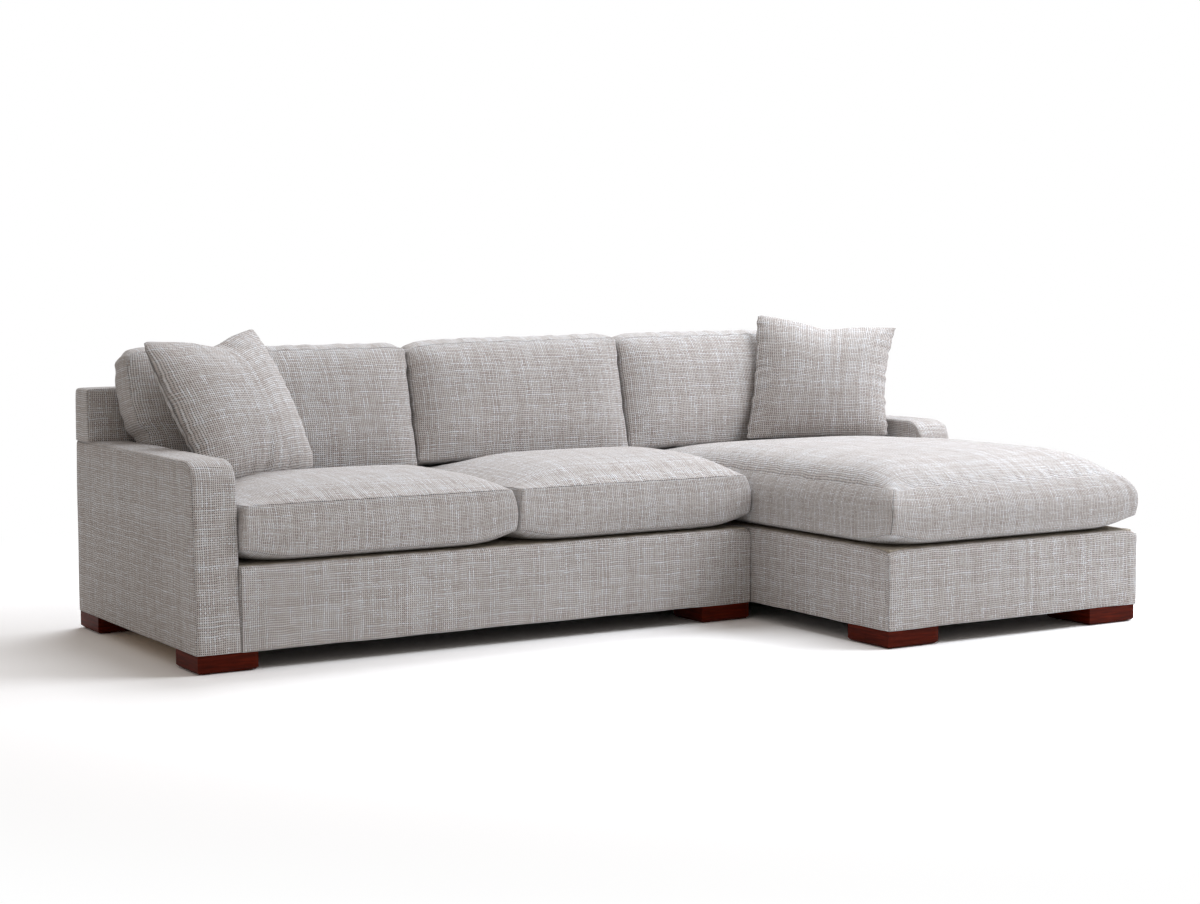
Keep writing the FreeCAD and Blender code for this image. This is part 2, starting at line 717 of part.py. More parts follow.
def pillow(place, turns, squash):
    """Knife-edge pillow: fullest in the middle, and flattened where it stands."""
    half = PILLOW_SIDE / 2
    left_squash, right_squash = squash
    points = corners_of([(-half, left_squash - half), (half, right_squash - half), (half, half), (-half, half)])
    turn, lean, roll = turns
    rows = []
    for (level, corner, bow), inset in zip(PILLOW_HALF_SHARES, PILLOW_INSET_SHARES):
        rows.append((1 / 2 + level, inset, inset, inset, corner, bow))
    mirrored = [(1 - row[0],) + row[1:] for row in rows[1:]]
    shares = mirrored[::-1] + rows

    def form(shrink):
        solid = cushion_form(points, ("front", "side", "rear", "side"), shares, PILLOW_THICKNESS, shrink,
                             PILLOW_FOOT_BOW_SHARE)
        solid.translate(FreeCAD.Vector(0, 0, -PILLOW_THICKNESS / 2))
        solid.rotate(FreeCAD.Vector(0, 0, 0), FreeCAD.Vector(0, 0, 1), roll)
        solid.rotate(FreeCAD.Vector(0, 0, 0), FreeCAD.Vector(1, 0, 0), 90 - lean)
        solid.rotate(FreeCAD.Vector(0, 0, 0), FreeCAD.Vector(0, 0, 1), turn)
        solid.translate(FreeCAD.Vector(*place))
        return solid

    return cover_and_core(form)


# Sofa module

def sofa_module():
    parts = {}
    corners = leg_corners(X_LEFT, X_SEAM, Y_FRONT, Y_BACK, SOFA_LEG_WIDTH, SOFA_LEG_DEPTH)
    arm_middle = X_LEFT + ARM_WIDTH / 2
    right_leg_x = X_SEAM - LEG_INSET - SOFA_LEG_WIDTH / 2
    rear_leg_y = Y_BACK - LEG_INSET - SOFA_LEG_DEPTH / 2
    arm_inset = COVER_THICKNESS + FIT_GAP
    arm_block = ARM_WIDTH - 2 * (arm_inset + PLY)
    front_block_y = Y_FRONT + arm_inset + ARM_LEAN + POST_DEPTH + arm_block / 2
    rear_block_y = Y_BACK - arm_inset - POST_DEPTH - arm_block / 2
    leg_spots = [
        (arm_middle, front_block_y, LEG_HEIGHT + BOARD, arm_block),
        (arm_middle, rear_block_y, LEG_HEIGHT + BOARD, arm_block),
        (X_SEAM_RAIL - RAIL_THICKNESS - BLOCK_SIDE / 2, Y_FRONT_RAIL + RAIL_THICKNESS + BLOCK_SIDE / 2,
         RAIL_BOTTOM, BLOCK_SIDE),
        (right_leg_x, rear_leg_y, LEG_HEIGHT + BOARD, BLOCK_SIDE),
    ]
    bolts, holes = leg_bolts(leg_spots)
    arm_bolt_set, arm_holes = arm_bolts(X_SEAT, 1, Y_FRONT, Y_DECK)
    back_bolt_set, back_holes = back_bolts(X_SEAT, X_SEAM)
    plates, plate_screws, screw_holes = connector_plates()
    all_holes = holes + arm_holes + back_holes + screw_holes

    parts["sofa_legs"] = group([leg(x, y, SOFA_LEG_WIDTH, SOFA_LEG_DEPTH) for x, y in corners])
    parts["sofa_leg_glides"] = group_of_glides(corners, SOFA_LEG_WIDTH, SOFA_LEG_DEPTH)
    parts["sofa_bolts"] = group(bolts + arm_bolt_set + back_bolt_set + plate_screws)
    parts["sofa_corner_blocks"] = corner_blocks(leg_spots)
    parts["connector_plates"] = group(plates)

    parts["sofa_front_rail"] = box(X_SEAT, X_SEAM_RAIL, Y_FRONT_RAIL, Y_FRONT_RAIL + RAIL_THICKNESS,
                                   RAIL_BOTTOM, RAIL_TOP)
    parts["sofa_back_rail"] = box(X_SEAT, X_SEAM_RAIL, Y_DECK - RAIL_THICKNESS, Y_DECK,
                                  RAIL_BOTTOM, RAIL_TOP)
    inner_front = Y_FRONT_RAIL + RAIL_THICKNESS
    inner_rear = Y_DECK - RAIL_THICKNESS
    middle = (X_SEAT + X_SEAM_RAIL) / 2
    sag = WIRE_RADIUS + OVERRUN
    cross = [
        box(X_SEAT, X_SEAT + RAIL_THICKNESS, inner_front, inner_rear, RAIL_BOTTOM, RAIL_TOP),
        box(middle - RAIL_THICKNESS / 2, middle + RAIL_THICKNESS / 2, inner_front, inner_rear,
            RAIL_BOTTOM, RAIL_TOP - sag),
        box(X_SEAM_RAIL - RAIL_THICKNESS, X_SEAM_RAIL, inner_front, inner_rear, RAIL_BOTTOM, RAIL_TOP),
    ]
    parts["sofa_cross_rails"] = group(cross)

    start_y = Y_FRONT_RAIL + RAIL_THICKNESS / 2
    length = Y_DECK - RAIL_THICKNESS / 2 - start_y
    xs = spread(X_SEAT + RAIL_THICKNESS, X_SEAM_RAIL - RAIL_THICKNESS, SPRING_PITCH)
    master = zigzag_spring((0, start_y, WIRE_HEIGHT), length, "y")
    parts["sofa_springs"] = group([moved_copy(master, x, 0) for x in xs])
    ends = (start_y, start_y + length)
    parts["sofa_spring_clips"] = group([spring_clip(x, y, "y") for x in xs for y in ends])

    parts["sofa_deck_pad"] = box(X_SEAT + FIT_GAP, X_SEAM_RAIL, Y_FRONT_RAIL, Y_DECK, PAD_BOTTOM, BASE_HEIGHT)
    parts["sofa_dust_cover"] = box(X_SEAT, X_SEAM_RAIL, Y_FRONT_RAIL, Y_DECK, LEG_HEIGHT, RAIL_BOTTOM)
    parts["sofa_front_border"] = border(X_SEAT, X_SEAM, Y_FRONT, Y_FRONT_RAIL, ("y", Y_FRONT))
    parts["sofa_end_border"] = border(X_SEAM_RAIL, X_SEAM, Y_FRONT_RAIL, Y_DECK, ("x", X_SEAM))

    parts["left_arm_cover"] = arm_cover(X_LEFT, Y_FRONT)
    parts["left_arm_panels"] = arm_panels(X_LEFT, Y_FRONT)
    parts["left_arm_spacers"] = arm_spacers(X_LEFT, Y_FRONT)
    parts["sofa_back_cover"] = back_cover(X_SEAT, X_SEAM, X_LEFT, X_SEAT)
    parts["sofa_back_ribs"] = back_ribs(X_SEAT, X_SEAM, X_LEFT, X_SEAT)
    parts["sofa_back_boards"] = back_boards(X_SEAT, X_SEAM, X_LEFT, X_SEAT)
    parts["sofa_back_webbing"] = back_webbing(X_SEAT, X_SEAM)

    return drill_all(parts, all_holes)


def drill_all(parts, holes):
    """Drill every piece of a module that a fastener may pass."""
    for name in parts:
        if "bolts" not in name and "connector" not in name and "spring" not in name:
            parts[name] = drill(parts[name], holes)
    return parts


def moved_copy(shape, x, y):
    copied = shape.copy()
    copied.translate(FreeCAD.Vector(x, y, 0))
    return copied


def corner_blocks(spots):
    """Wooden blocks that the leg bolts screw into."""
    blocks = []
    for x, y, z, side in spots:
        blocks.append(box(x - side / 2, x + side / 2, y - side / 2, y + side / 2, z, z + BLOCK_HEIGHT))
    return group(blocks)


def leg_bolts(spots):
    """Bolts up through legs and blocks, and the holes that they pass."""
    bolts = []
    holes = []
    for x, y, z, side in spots:
        start = (x, y, LEG_HEIGHT - LEG_BOLT_DEPTH)
        length = z + BLOCK_HEIGHT - start[2]
        bolts.append(rod(start, (0, 0, 1), BOLT_RADIUS, length))
        holes.append(bolt_hole(start, (0, 0, 1), length))
    return bolts, holes


def arm_bolts(face_x, direction, y_front, y_rear):
    """Bolts from inside an arm through the seat box's side rail."""
    reach = COVER_THICKNESS + FIT_GAP + PLY
    start_x = face_x - direction * reach
    length = reach + RAIL_THICKNESS + NUT_HEIGHT
    bolts = []
    holes = []
    for y in (y_front + BOLT_EDGE, (y_front + y_rear) / 2, y_rear - BOLT_EDGE):
        start = (start_x, y, ARM_BOLT_HEIGHT)
        bolts.extend(bolt(start, (direction, 0, 0), length))
        holes.append(bolt_hole(start, (direction, 0, 0), length))
    return bolts, holes


def back_bolts(x0, x1):
    """Bolts from inside a back frame forward through the rear rail."""
    reach = COVER_THICKNESS + FIT_GAP + BOARD
    start_y = Y_DECK + reach
    length = reach + RAIL_THICKNESS + NUT_HEIGHT
    bolts = []
    holes = []
    low = x0 + BOLT_EDGE
    high = x1 - BOLT_EDGE
    count = max(1, int(round((high - low) / RIB_PITCH)))
    for index in range(count + 1):
        start = (low + (high - low) * index / count, start_y, BACK_BOLT_HEIGHT)
        bolts.extend(bolt(start, (0, -1, 0), length))
        holes.append(bolt_hole(start, (0, -1, 0), length))
    return bolts, holes


# Connector

def connector_rows():
    return (Y_FRONT + CONNECTOR_EDGE, Y_DECK - CONNECTOR_EDGE)


def stud_x():
    return X_CHAISE_RAIL + RAIL_THICKNESS / 2


def connector_plates():
    """Steel tongues under the sofa's end rail, with their screws and holes."""
    plates = []
    screws = []
    screw_holes = []
    x0 = X_SEAM - PLATE_ANCHOR
    x1 = X_SEAM + PLATE_REACH
    top = LEG_HEIGHT
    bottom = top - PLATE_THICKNESS
    for y in connector_rows():
        plate = box(x0, x1, y - PLATE_WIDTH / 2, y + PLATE_WIDTH / 2, bottom, top)
        eye = rod((stud_x(), y, bottom), (0, 0, 1), STUD_RADIUS + STUD_GAP, PLATE_THICKNESS)
        plate = plate.cut(eye)
        for side in (-1, 1):
            x = X_SEAM_RAIL - RAIL_THICKNESS / 2
            start = (x, y + side * PLATE_WIDTH / 4, bottom)
            screws.append(rod(start, (0, 0, 1), SCREW_RADIUS, SCREW_LENGTH))
            hole = rod(start, (0, 0, 1), SCREW_RADIUS + HOLE_GAP, SCREW_LENGTH)
            screw_holes.append(hole)
            plate = plate.cut(hole)
        plates.append(plate)
    return plates, screws, screw_holes


def connector_studs():
    """Steel pins in the chaise's side rail that drop through the tongues."""
    studs = []
    sockets = []
    for y in connector_rows():
        bottom = LEG_HEIGHT - STUD_DROP
        start = (stud_x(), y, bottom)
        studs.append(rod(start, (0, 0, 1), STUD_RADIUS, STUD_DROP + STUD_RISE))
        sockets.append(rod(start, (0, 0, 1), STUD_RADIUS + HOLE_GAP, STUD_DROP + STUD_RISE))
    return studs, sockets


# Chaise module

def chaise_module():
    parts = {}
    corners = leg_corners(X_CHAISE, X_RIGHT, Y_CHAISE, Y_BACK, CHAISE_LEG_SIDE, CHAISE_LEG_SIDE)
    arm_middle = X_RIGHT - ARM_WIDTH / 2
    left_leg_x = X_CHAISE + LEG_INSET + CHAISE_LEG_SIDE / 2
    front_block_y = Y_CHAISE_RAIL + RAIL_THICKNESS + BLOCK_SIDE / 2
    arm_inset = COVER_THICKNESS + FIT_GAP
    arm_block = ARM_WIDTH - 2 * (arm_inset + PLY)
    arm_block_y = Y_BACK - arm_inset - POST_DEPTH - arm_block / 2
    back_block_y = (Y_DECK + Y_BACK) / 2
    leg_spots = [
        (X_CHAISE_RAIL + RAIL_THICKNESS + BLOCK_SIDE / 2, front_block_y, RAIL_BOTTOM, BLOCK_SIDE),
        (X_RIGHT_RAIL - RAIL_THICKNESS - BLOCK_SIDE / 2, front_block_y, RAIL_BOTTOM, BLOCK_SIDE),
        (left_leg_x, back_block_y, LEG_HEIGHT + BOARD, BLOCK_SIDE),
        (arm_middle, arm_block_y, LEG_HEIGHT + BOARD, arm_block),
    ]
    bolts, holes = leg_bolts(leg_spots)
    arm_bolt_set, arm_holes = arm_bolts(X_ARM, -1, Y_ARM, Y_DECK)
    back_bolt_set, back_holes = back_bolts(X_CHAISE, X_ARM)
    studs, sockets = connector_studs()
    all_holes = holes + arm_holes + back_holes + sockets

    parts["chaise_legs"] = group([leg(x, y, CHAISE_LEG_SIDE, CHAISE_LEG_SIDE) for x, y in corners])
    parts["chaise_leg_glides"] = group_of_glides(corners, CHAISE_LEG_SIDE, CHAISE_LEG_SIDE)
    parts["chaise_bolts"] = group(bolts + arm_bolt_set + back_bolt_set)
    parts["chaise_corner_blocks"] = corner_blocks(leg_spots)
    parts["connector_studs"] = group(studs)

    inner_left = X_CHAISE_RAIL + RAIL_THICKNESS
    front_inner = Y_CHAISE_RAIL + RAIL_THICKNESS
    rear_inner = Y_DECK - RAIL_THICKNESS
    step_x = X_ARM - RAIL_THICKNESS
    parts["chaise_front_rail"] = box(X_CHAISE_RAIL, X_RIGHT_RAIL, Y_CHAISE_RAIL, front_inner,
                                     RAIL_BOTTOM, RAIL_TOP)
    parts["chaise_back_rail"] = box(X_CHAISE_RAIL, X_ARM, rear_inner, Y_DECK, RAIL_BOTTOM, RAIL_TOP)
    cross_y = Y_ARM - RAIL_THICKNESS
    sides = [
        box(X_CHAISE_RAIL, inner_left, front_inner, rear_inner, RAIL_BOTTOM, RAIL_TOP),
        box(X_RIGHT_RAIL - RAIL_THICKNESS, X_RIGHT_RAIL, front_inner, cross_y, RAIL_BOTTOM, RAIL_TOP),
        box(step_x, X_ARM, Y_ARM, rear_inner, RAIL_BOTTOM, RAIL_TOP),
    ]
    parts["chaise_side_rails"] = group(sides)
    sag = WIRE_RADIUS + OVERRUN
    cross_rail = box(inner_left, X_RIGHT_RAIL, cross_y, Y_ARM, RAIL_BOTTOM, RAIL_TOP - sag)
    parts["chaise_cross_rail"] = cross_rail

    start_x = X_CHAISE_RAIL + RAIL_THICKNESS / 2
    long_end = X_RIGHT_RAIL - RAIL_THICKNESS / 2
    short_end = X_ARM - RAIL_THICKNESS / 2
    springs = []
    clips = []
    front_rows = spread(front_inner, cross_y, SPRING_PITCH)
    rear_rows = spread(Y_ARM, rear_inner, SPRING_PITCH)
    for ys, end_x in ((front_rows, long_end), (rear_rows, short_end)):
        master = zigzag_spring((start_x, 0, WIRE_HEIGHT), end_x - start_x, "x")
        for y in ys:
            springs.append(moved_copy(master, 0, y))
            clips.append(spring_clip(start_x, y, "x"))
            clips.append(spring_clip(end_x, y, "x"))
    parts["chaise_springs"] = group(springs)
    parts["chaise_spring_clips"] = group(clips)

    front_pad = box(X_CHAISE_RAIL, X_RIGHT_RAIL, Y_CHAISE_RAIL, Y_ARM - FIT_GAP, PAD_BOTTOM, BASE_HEIGHT)
    rear_pad = box(X_CHAISE_RAIL, X_ARM - FIT_GAP, Y_ARM - FIT_GAP, Y_DECK, PAD_BOTTOM, BASE_HEIGHT)
    parts["chaise_deck_pad"] = front_pad.fuse(rear_pad).removeSplitter()
    front_dust = box(X_CHAISE_RAIL, X_RIGHT_RAIL, Y_CHAISE_RAIL, Y_ARM - FIT_GAP, LEG_HEIGHT, RAIL_BOTTOM)
    rear_dust = box(X_CHAISE_RAIL, X_ARM, Y_ARM - FIT_GAP, Y_DECK, LEG_HEIGHT, RAIL_BOTTOM)
    parts["chaise_dust_cover"] = front_dust.fuse(rear_dust).removeSplitter()
    parts["chaise_front_border"] = border(X_CHAISE, X_RIGHT, Y_CHAISE, Y_CHAISE_RAIL, ("y", Y_CHAISE))
    parts["chaise_left_border"] = border(X_CHAISE, X_CHAISE_RAIL, Y_CHAISE_RAIL, Y_DECK, ("x", X_CHAISE))
    parts["chaise_right_border"] = border(X_RIGHT_RAIL, X_RIGHT, Y_CHAISE_RAIL, Y_ARM - FIT_GAP,
                                          ("x", X_RIGHT))

    parts["right_arm_cover"] = arm_cover(X_ARM, Y_ARM)
    parts["right_arm_panels"] = arm_panels(X_ARM, Y_ARM)
    parts["right_arm_spacers"] = arm_spacers(X_ARM, Y_ARM)
    parts["chaise_back_cover"] = back_cover(X_CHAISE, X_ARM, X_ARM, X_RIGHT)
    parts["chaise_back_ribs"] = back_ribs(X_CHAISE, X_ARM, X_ARM, X_RIGHT)
    parts["chaise_back_boards"] = back_boards(X_CHAISE, X_ARM, X_ARM, X_RIGHT)
    parts["chaise_back_webbing"] = back_webbing(X_CHAISE, X_ARM)

    return drill_all(parts, all_holes)


# Loose cushions

def loose_cushions():
    parts = {}
    pairs = {}
    split = X_SEAT + SEAT_SPLIT
    pairs["seat_cushion_left"] = seat_cushion(X_SEAT + SOFT_GAP, split - SOFT_GAP / 2, SEAT_LEFT_CROWN)
    pairs["seat_cushion_middle"] = seat_cushion(split + SOFT_GAP / 2, X_SEAM, SEAT_MIDDLE_CROWN)
    pairs["chaise_cushion"] = chaise_seat_cushion()

    back_split = X_SEAT + BACK_CUSHION_SPLIT
    right_start = X_CHAISE - BACK_CUSHION_RIGHT_START
    right_end = X_ARM - BACK_CUSHION_RIGHT_INSET
    left_start = X_SEAT + BACK_CUSHION_TUCK
    left_end = back_split - SOFT_GAP / 2
    middle_start = back_split + SOFT_GAP / 2
    pairs["back_cushion_left"] = back_cushion(
        left_start, left_end, X_SEAT - BACK_CUSHION_FLARE, BACK_CUSHION_LEFT_FOOT, BACK_CUSHION_LEFT_HEIGHT)
    pairs["back_cushion_middle"] = back_cushion(
        middle_start, right_start - SOFT_GAP / 2, middle_start, BACK_CUSHION_MIDDLE_FOOT,
        BACK_CUSHION_MIDDLE_HEIGHT)
    pairs["back_cushion_right"] = back_cushion(
        right_start + SOFT_GAP / 2, right_end, right_start + SOFT_GAP / 2, BACK_CUSHION_RIGHT_FOOT,
        BACK_CUSHION_RIGHT_HEIGHT)
    pairs["pillow_left"] = pillow(PILLOW_LEFT_PLACE, PILLOW_LEFT_TURNS, PILLOW_LEFT_SQUASH)
    pairs["pillow_right"] = pillow(PILLOW_RIGHT_PLACE, PILLOW_RIGHT_TURNS, PILLOW_RIGHT_SQUASH)
    for name, (cover, core) in pairs.items():
        parts[name + "_cover"] = cover
        parts[name + "_filling"] = core
    return parts


def main():
    os.makedirs("parts", exist_ok=True)
    parts = {}
    parts.update(sofa_module())
    parts.update(chaise_module())
    parts.update(loose_cushions())
    for name, shape in parts.items():
        if not shape.isValid():
            print("not valid:", name)
        shape.exportStep("parts/" + name + ".step")
    print("pieces:", len(parts), "solids:", sum(len(shape.Solids) for shape in parts.values()))


main()
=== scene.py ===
# %% [markdown]
# # Corner sofa with a chaise
# The sofa is two upholstered modules side by side: a two-seater with the left arm, and a chaise
# with the right arm. Everything that a hand meets is woven cloth over foam, on low block legs.
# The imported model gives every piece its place, in metres, and this file gives it its looks.
# Rigid pieces keep their own meshes. Every soft piece is made again here, as sewn panels.

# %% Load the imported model
import json
import math

import bmesh
import bpy
import numpy as np
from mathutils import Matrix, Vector


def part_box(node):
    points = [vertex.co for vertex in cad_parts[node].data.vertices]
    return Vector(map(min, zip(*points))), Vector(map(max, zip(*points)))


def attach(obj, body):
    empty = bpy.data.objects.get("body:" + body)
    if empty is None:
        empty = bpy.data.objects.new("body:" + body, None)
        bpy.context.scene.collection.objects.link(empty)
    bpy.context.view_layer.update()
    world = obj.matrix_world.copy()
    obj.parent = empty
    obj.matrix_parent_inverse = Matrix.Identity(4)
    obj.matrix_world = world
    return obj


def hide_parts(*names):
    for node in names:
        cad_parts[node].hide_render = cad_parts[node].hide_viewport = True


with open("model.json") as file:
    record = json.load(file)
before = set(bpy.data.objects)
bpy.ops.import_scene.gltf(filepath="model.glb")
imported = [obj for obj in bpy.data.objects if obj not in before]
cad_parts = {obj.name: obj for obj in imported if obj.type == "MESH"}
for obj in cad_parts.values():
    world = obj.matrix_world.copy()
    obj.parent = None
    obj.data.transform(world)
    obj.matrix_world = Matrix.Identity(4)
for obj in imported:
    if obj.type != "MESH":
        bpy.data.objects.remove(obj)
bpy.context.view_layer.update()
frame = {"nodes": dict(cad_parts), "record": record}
nodes = frame["nodes"]

MM = 0.001
scene = bpy.context.scene
scene.view_settings.view_transform = "Standard"


def mm(*lengths):
    """Lengths in metres, from lengths in millimetres."""
    return tuple(length * MM for length in lengths)


# %% [markdown]
# ## Camera
# A photograph of furniture is taken from a few metres away with a short telephoto lens, so that
# upright lines stay nearly upright. The lens and the place below were worked out from straight
# edges of the base and the arms. A camera object looks along its own minus Z, so it is first
# tipped up by 90 degrees and then turned.

# %% Place the camera
FOCAL_PIXELS = 2177.2
IMAGE_WIDTH = 1200
SENSOR_WIDTH = 36.0
CAMERA_PLACE = (-3.858, -6.077, 1.177)
CAMERA_TILT_DOWN = 4.77
CAMERA_TURN = -32.09

camera_data = bpy.data.cameras.new("studio_camera")
camera_data.sensor_width = SENSOR_WIDTH
camera_data.lens = FOCAL_PIXELS / IMAGE_WIDTH * SENSOR_WIDTH
camera = bpy.data.objects.new("studio_camera", camera_data)
camera.location = CAMERA_PLACE
camera.rotation_euler = (math.radians(90 - CAMERA_TILT_DOWN), 0, math.radians(CAMERA_TURN))
scene.collection.objects.link(camera)
scene.camera = camera
print("lens:", round(camera_data.lens, 1), "mm")

# %% [markdown]
# ## Nodes of a material
# A material is a small graph. One function is enough to write any graph: it makes a node, sets
# its settings, and fills each input either with a value or with a link from another node. The
# other functions are short names for the nodes that are used again and again.

# %% Write any node
def srgb(text):
    """Linear colour with alpha from a hex text such as #c8c0b8."""
    channels = [int(text[i:i + 2], 16) / 255 for i in (1, 3, 5)]
    return [c / 12.92 if c <= 0.04045 else ((c + 0.055) / 1.055) ** 2.4 for c in channels] + [1.0]


def add(tree, kind, inputs=None, **settings):
    """Add a node to a tree, with its settings, and with its inputs set or linked."""
    node = tree.nodes.new(kind)
    for key, value in settings.items():
        setattr(node, key, value)
    for key, value in (inputs or {}).items():
        if isinstance(value, bpy.types.NodeSocket):
            tree.links.new(value, node.inputs[key])
        else:
            node.inputs[key].default_value = value
    return node


def maths(tree, operation, *values, clamp=False):
    return add(tree, "ShaderNodeMath", dict(enumerate(values)), operation=operation,
               use_clamp=clamp).outputs[0]


def vectors(tree, operation, *values):
    return add(tree, "ShaderNodeVectorMath", dict(enumerate(values)),
               operation=operation).outputs[0]


def noise(tree, place, scale, detail, **inputs):
    """Smooth noise at a place. Its node has the outputs Fac and Color."""
    return add(tree, "ShaderNodeTexNoise",
               {"Vector": place, "Scale": scale, "Detail": detail, **inputs})


def ramp(tree, factor, stops):
    """Colour ramp between hex colours at given places."""
    node = add(tree, "ShaderNodeValToRGB", {"Fac": factor})
    elements = node.color_ramp.elements
    while len(elements) < len(stops):
        elements.new(0.5)
    for element, (place, colour) in zip(elements, stops):
        element.position = place
        element.color = srgb(colour)
    return node.outputs["Color"]


def mixed(tree, share, first, second):
    """Mix of two shader nodes."""
    return add(tree, "ShaderNodeMixShader",
               {"Fac": share, 1: first.outputs[0], 2: second.outputs[0]})


# %% Start and finish a material
def new_material(name):
    """An empty material and its tree."""
    material = bpy.data.materials.new(name)
    material.use_nodes = True
    material.node_tree.nodes.clear()
    return material, material.node_tree


def finish_material(tree, shader):
    add(tree, "ShaderNodeOutputMaterial", {"Surface": shader.outputs[0]})


def finish_surface(tree, colour, height, strength, depth, settings):
    """Finish a material as a surface with a colour, bumps of a given depth, and settings."""
    bump = add(tree, "ShaderNodeBump", {"Height": height, "Strength": strength, "Distance": depth})
    finish_material(tree, add(tree, "ShaderNodeBsdfPrincipled", {
        "Base Color": colour, "Normal": bump.outputs[0], **settings}))


# %% [markdown]
# ## The studio
# The object stands on a plain white sweep. The floor is a large sheet with a pale matt surface
# that takes the soft shadow. What the camera sees of it is lifted with Is Camera Ray: near the
# sofa its colour is raised, so that the lit floor is white and the shadow stays dark, and further
# out it fades to plain white. No extra light falls on the cloth for the sake of the background.

# %% Floor and world
FLOOR_SIZE = 60.0
FLOOR_COLOUR = "#eeeeee"
FLOOR_GAIN = 1.10
FLOOR_NEAR = 2.0
FLOOR_FAR = 3.5
WORLD_STRENGTH = 0.40
WORLD_COLOUR = "#fff5ec"
WHITE = (1, 1, 1, 1)


def seen_directly(tree):
    """1 for rays from the camera and for mirror and glass rays, else 0."""
    path = add(tree, "ShaderNodeLightPath").outputs
    glossy = maths(tree, "MAXIMUM", path["Is Camera Ray"], path["Is Glossy Ray"])
    return maths(tree, "MAXIMUM", glossy, path["Is Transmission Ray"])


floor_material, tree = new_material("white_studio_sweep")
matt = add(tree, "ShaderNodeBsdfDiffuse", {"Color": srgb(FLOOR_COLOUR)})
near = add(tree, "ShaderNodeBsdfDiffuse", {"Color": (FLOOR_GAIN, FLOOR_GAIN, FLOOR_GAIN, 1)})
far = add(tree, "ShaderNodeEmission", {"Color": WHITE, "Strength": 1.0})
spot = add(tree, "ShaderNodeTexCoord").outputs["Object"]
distance = add(tree, "ShaderNodeVectorMath", {0: spot}, operation="LENGTH").outputs["Value"]
farness = add(tree, "ShaderNodeMapRange",
              {"Value": distance, "From Min": FLOOR_NEAR, "From Max": FLOOR_FAR},
              interpolation_type="SMOOTHSTEP").outputs[0]
finish_material(tree, mixed(tree, seen_directly(tree), matt, mixed(tree, farness, near, far)))

bpy.ops.mesh.primitive_plane_add(size=FLOOR_SIZE)
floor = bpy.context.object
floor.name = "studio_floor"
floor.data.materials.append(floor_material)

world = bpy.data.worlds.new("white_studio")
world.use_nodes = True
scene.world = world
tree = world.node_tree
tree.nodes.clear()
around = add(tree, "ShaderNodeBackground",
             {"Color": srgb(WORLD_COLOUR), "Strength": WORLD_STRENGTH})
behind = add(tree, "ShaderNodeBackground", {"Color": WHITE, "Strength": 1.0})
add(tree, "ShaderNodeOutputWorld",
    {"Surface": mixed(tree, seen_directly(tree), around, behind).outputs[0]})

# %% [markdown]
# ## Lamps
# Three broad soft boxes hang over the right half of the sofa, so the chaise is the brightest part
# and the light falls off towards the left arm. The near one lights the fronts, the right one and
# the rear one the tops. Their powers were worked out together, by matching the brightness of
# twenty places on the cloth. Large lamps give the soft edges of the shadow under the base.

# %% Hang the lamps
LAMP_COLOUR = "#f5f9ff"


def soft_box(name, place, aim, size, power):
    """Square area lamp at a place, turned towards a point."""
    data = bpy.data.lights.new(name, "AREA")
    data.shape = "SQUARE"
    data.size = size
    data.energy = power
    data.color = srgb(LAMP_COLOUR)[:3]
    lamp = bpy.data.objects.new(name, data)
    lamp.location = place
    lamp.rotation_euler = (Vector(aim) - Vector(place)).to_track_quat("-Z", "Y").to_euler()
    scene.collection.objects.link(lamp)


soft_box("near_soft_box", (2.6, -1.6, 3.4), (0.9, 0.0, 0.4), 2.0, 140)
soft_box("right_soft_box", (4.6, 0.4, 5.2), (0.2, 0.0, 0.4), 3.2, 104)
soft_box("rear_soft_box", (0.8, 2.6, 5.6), (0.5, 0.0, 0.4), 3.0, 208)

# %% [markdown]
# ## Woven cloth
# The cover cloth is a plain weave of slubby yarns, a linen and cotton blend. Its yarns are spun
# from cream, pale blue-grey and brown fibres, and each one changes colour along its length, so
# the cloth shows short streaks both ways. The weave is drawn from the cloth's own flat
# coordinates, which every sewn panel carries in metres, so the yarns follow the cloth round
# every curve and change direction only at a seam, as they do on the real cover. The real yarns
# are about 2 mm apart. They are drawn 6.8 mm apart, so that they can show in a picture of a
# three-metre sofa.
# Shade is also painted into the cloth's colour: in the gaps between the yarns, and along the seams
# and beside the gap between the modules.

# %% Yarns
YARN_PITCH = 6.8 * MM
STREAK_SHARE = YARN_PITCH / (54 * MM)
CLOTH_STOPS = ((0.00, "#9d928c"), (0.30, "#b8b0ac"), (0.52, "#cac6c4"), (0.70, "#d6d7da"),
               (0.86, "#e4e5e7"), (1.00, "#efeeec"))
YARN_JUMP = 7.31
OWN_TONE = 0.34
# A tone is the gain and the start that turn a pattern of 0 to 1 into a place on the ramp
STREAK_TONE = (1.08, -0.22)


def yarn_rows(tree, place):
    """Number of the yarn at a place, and its roundness: 0 between two yarns, 1 on top of one."""
    turn = maths(tree, "MULTIPLY", maths(tree, "FRACT", place), math.pi)
    return maths(tree, "FLOOR", place), maths(tree, "SINE", turn)


def yarn_colour(tree, number, along, seed):
    """Colour of one set of yarns: by the yarn's number, and slowly changing along it."""
    own = add(tree, "ShaderNodeTexWhiteNoise", {"W": maths(tree, "ADD", number, seed)},
              noise_dimensions="1D").outputs["Value"]
    place = add(tree, "ShaderNodeCombineXYZ", {
        "X": maths(tree, "MULTIPLY", number, YARN_JUMP),
        "Y": maths(tree, "MULTIPLY", along, STREAK_SHARE), "Z": seed}).outputs[0]
    streak = noise(tree, place, 1.0, 2.0, Roughness=0.6).outputs["Fac"]
    tone = maths(tree, "MULTIPLY_ADD", streak, *STREAK_TONE)
    return ramp(tree, maths(tree, "MULTIPLY_ADD", own, OWN_TONE, tone), CLOTH_STOPS)


